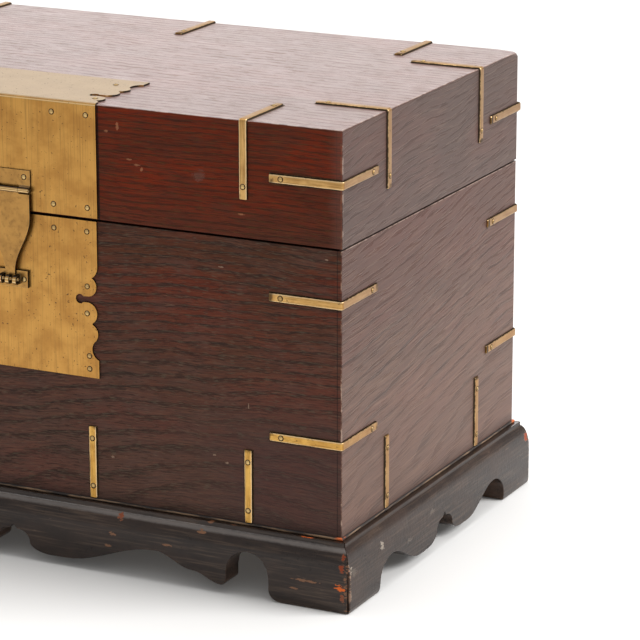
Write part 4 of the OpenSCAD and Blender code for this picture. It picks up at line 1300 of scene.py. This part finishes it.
class CHEST_OT_plates(bpy.types.Operator):
    """Finishes the two lock plates"""
    bl_idname = "chest.plates"
    bl_label = "Plates"

    def execute(self, context):
        edge = context.scene.chest_brass.edge
        for node, body, flats in (("lock_plate", "case", "y"), ("lid_plate", "lid", "yz")):
            name = node + "_brass"
            brass = kept_material(name, brass_material, name, "upright", plate_metal(), flats)
            refined(node, body, brass, edge)
        return {"FINISHED"}


class CHEST_OT_closure(bpy.types.Operator):
    """Finishes the hasp, its leaf and pin, the eyes and the hinges"""
    bl_idname = "chest.closure"
    bl_label = "Closure"

    def execute(self, context):
        edge = context.scene.chest_brass.edge
        brass = kept_material("mount_brass", brass_material, "mount_brass", "none", MOUNT_METAL, "y")
        for node, body in (
                ("lock_staple", "case"), ("hasp_leaf", "lid"), ("hasp_pin", "lid"), ("hasp", "hasp"),
                ("case_hinge_leaf_left", "case"), ("case_hinge_leaf_right", "case"),
                ("hinge_pin_left", "case"), ("hinge_pin_right", "case"),
                ("lid_hinge_leaf_left", "lid"), ("lid_hinge_leaf_right", "lid")):
            refined(node, body, brass, edge)
        return {"FINISHED"}


class CHEST_OT_straps(bpy.types.Operator):
    """Finishes the bent straps and the foot strips"""
    bl_idname = "chest.straps"
    bl_label = "Straps"

    def execute(self, context):
        bent = made_strap("bent_pattern", True)
        straight = made_strap("straight_pattern", False)
        for node in frame["nodes"]:
            if node.startswith(("case_strap", "lid_strap")):
                corner_strap(bent, node, node.split("_")[0])
            elif node.startswith("edge_strap"):
                edge_strap(bent, node)
            elif node.startswith("foot_strips"):
                foot_strips(straight, node, 4 if node.endswith(("front", "back")) else 2)
        removed(bent)
        removed(straight)
        return {"FINISHED"}


class CHEST_OT_nails(bpy.types.Operator):
    """Puts a domed nail at every nail of the case and the lid"""
    bl_idname = "chest.nails"
    bl_label = "Nails"

    def execute(self, context):
        nails("case_nails", "case")
        nails("lid_nails", "lid")
        return {"FINISHED"}


# Soft lamps: name, place, what they shine at, sides of their panel and watts.
LAMPS = (
    ("right", (3.9, 1.0, 2.7), (0.0, 0.0, 0.2), (2.2, 2.2), 275.0),
    ("above", (0.3, 0.3, 3.8), (0.0, 0.0, 0.2), (2.6, 2.6), 95.0),
    ("streak", (-1.5, 0.6, 3.7), (0.0, 0.0, 0.2), (3.0, 0.8), 45.0),
    ("back", (-2.6, 4.3, 1.7), (0.0, 0.0, 0.4), (5.4, 1.5), 85.0),
)


def add_surround(scene, look):
    """Sets the plain light from all round."""
    world = bpy.data.worlds.new("surround")
    world.use_nodes = True
    background = world.node_tree.nodes["Background"]
    background.inputs["Color"].default_value = look.air
    background.inputs["Strength"].default_value = look.surround
    scene.world = world


def add_floor(look):
    """Lays pale paper under the chest, as part of the stage."""
    bpy.ops.mesh.primitive_plane_add(size=look.floor_size)
    floor = bpy.context.active_object
    floor.name = "floor"
    # The floor's faint emission is painted light, lifting the shadows round the chest.
    paper = Look("floor_paper", Specular_IOR_Level=0.1, Emission_Strength=look.glow)
    cloud = paper.noise(paper.at, (1.5, 1.5, 1.0), 3.0, 0.5, 2.0)
    paper.base(cloud, look.paper_shade, look.paper)
    floor.data.materials.append(paper.finish(0.9 + cloud * 0.05))


def add_lamp(look, name, place, aim, size, power):
    """Hangs one soft lamp at its place and turns it to its aim."""
    bpy.ops.object.light_add(type="AREA", location=place)
    lamp = bpy.context.active_object
    lamp.name = name
    lamp.rotation_euler = (Vector(aim) - Vector(place)).to_track_quat("-Z", "Y").to_euler()
    lamp.data.shape = "RECTANGLE"
    lamp.data.size, lamp.data.size_y = size
    lamp.data.energy = power * look.light


def add_camera(scene, look):
    """Stands the camera where the photo was taken from."""
    bpy.ops.object.camera_add(location=look.camera_place, rotation=look.camera_turn)
    camera = bpy.context.active_object
    camera.data.sensor_width = 36.0
    camera.data.lens = look.lens
    camera.data.clip_end = 200.0
    scene.camera = camera


class CHEST_OT_stage(bpy.types.Operator):
    """Sets the pale floor, the soft light and the camera"""
    bl_idname = "chest.stage"
    bl_label = "Stage"

    def execute(self, context):
        scene = context.scene
        look = scene.chest_stage
        scene.view_settings.view_transform = "Standard"
        add_surround(scene, look)
        add_floor(look)
        for lamp in LAMPS:
            add_lamp(look, *lamp)
        add_camera(scene, look)
        return {"FINISHED"}


OPERATORS = (
    CHEST_OT_case_boards, CHEST_OT_lid_boards, CHEST_OT_plinth, CHEST_OT_inside, CHEST_OT_plates,
    CHEST_OT_closure, CHEST_OT_straps, CHEST_OT_nails, CHEST_OT_stage)
GROUPS = {
    "chest_case_wood": WoodLook, "chest_lid_wood": WoodLook, "chest_lacquer": LacquerLook,
    "chest_brass": BrassLook, "chest_straps": StrapShape, "chest_nails": NailShape,
    "chest_stage": StageLook}


class CHEST_PT_pieces(bpy.types.Panel):
    """Lists the settings and the operators of the chest"""
    bl_label = "Chest"
    bl_idname = "CHEST_PT_pieces"
    bl_space_type = "VIEW_3D"
    bl_region_type = "UI"
    bl_category = "Chest"

    def draw(self, context):
        for name, kind in GROUPS.items():
            box = self.layout.box()
            box.label(text=name.removeprefix("chest_").replace("_", " ").capitalize())
            for setting in kind.__annotations__:
                box.prop(getattr(context.scene, name), setting)
        for operator in OPERATORS:
            self.layout.operator(operator.bl_idname)


KINDS = (WoodLook, LacquerLook, BrassLook, StrapShape, NailShape, StageLook, *OPERATORS, CHEST_PT_pieces)


def register():
    for kind in KINDS:
        bpy.utils.register_class(kind)
    for name, group in GROUPS.items():
        setattr(bpy.types.Scene, name, PointerProperty(type=group))


def unregister():
    for name in GROUPS:
        delattr(bpy.types.Scene, name)
    for kind in reversed(KINDS):
        bpy.utils.unregister_class(kind)


def main():
    """Makes every piece and the stage in order."""
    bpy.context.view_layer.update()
    register()
    bpy.ops.chest.case_boards()
    bpy.ops.chest.lid_boards()
    bpy.ops.chest.plinth()
    bpy.ops.chest.inside()
    bpy.ops.chest.plates()
    bpy.ops.chest.closure()
    bpy.ops.chest.straps()
    bpy.ops.chest.nails()
    bpy.ops.chest.stage()


if __name__ == "__main__":
    main()
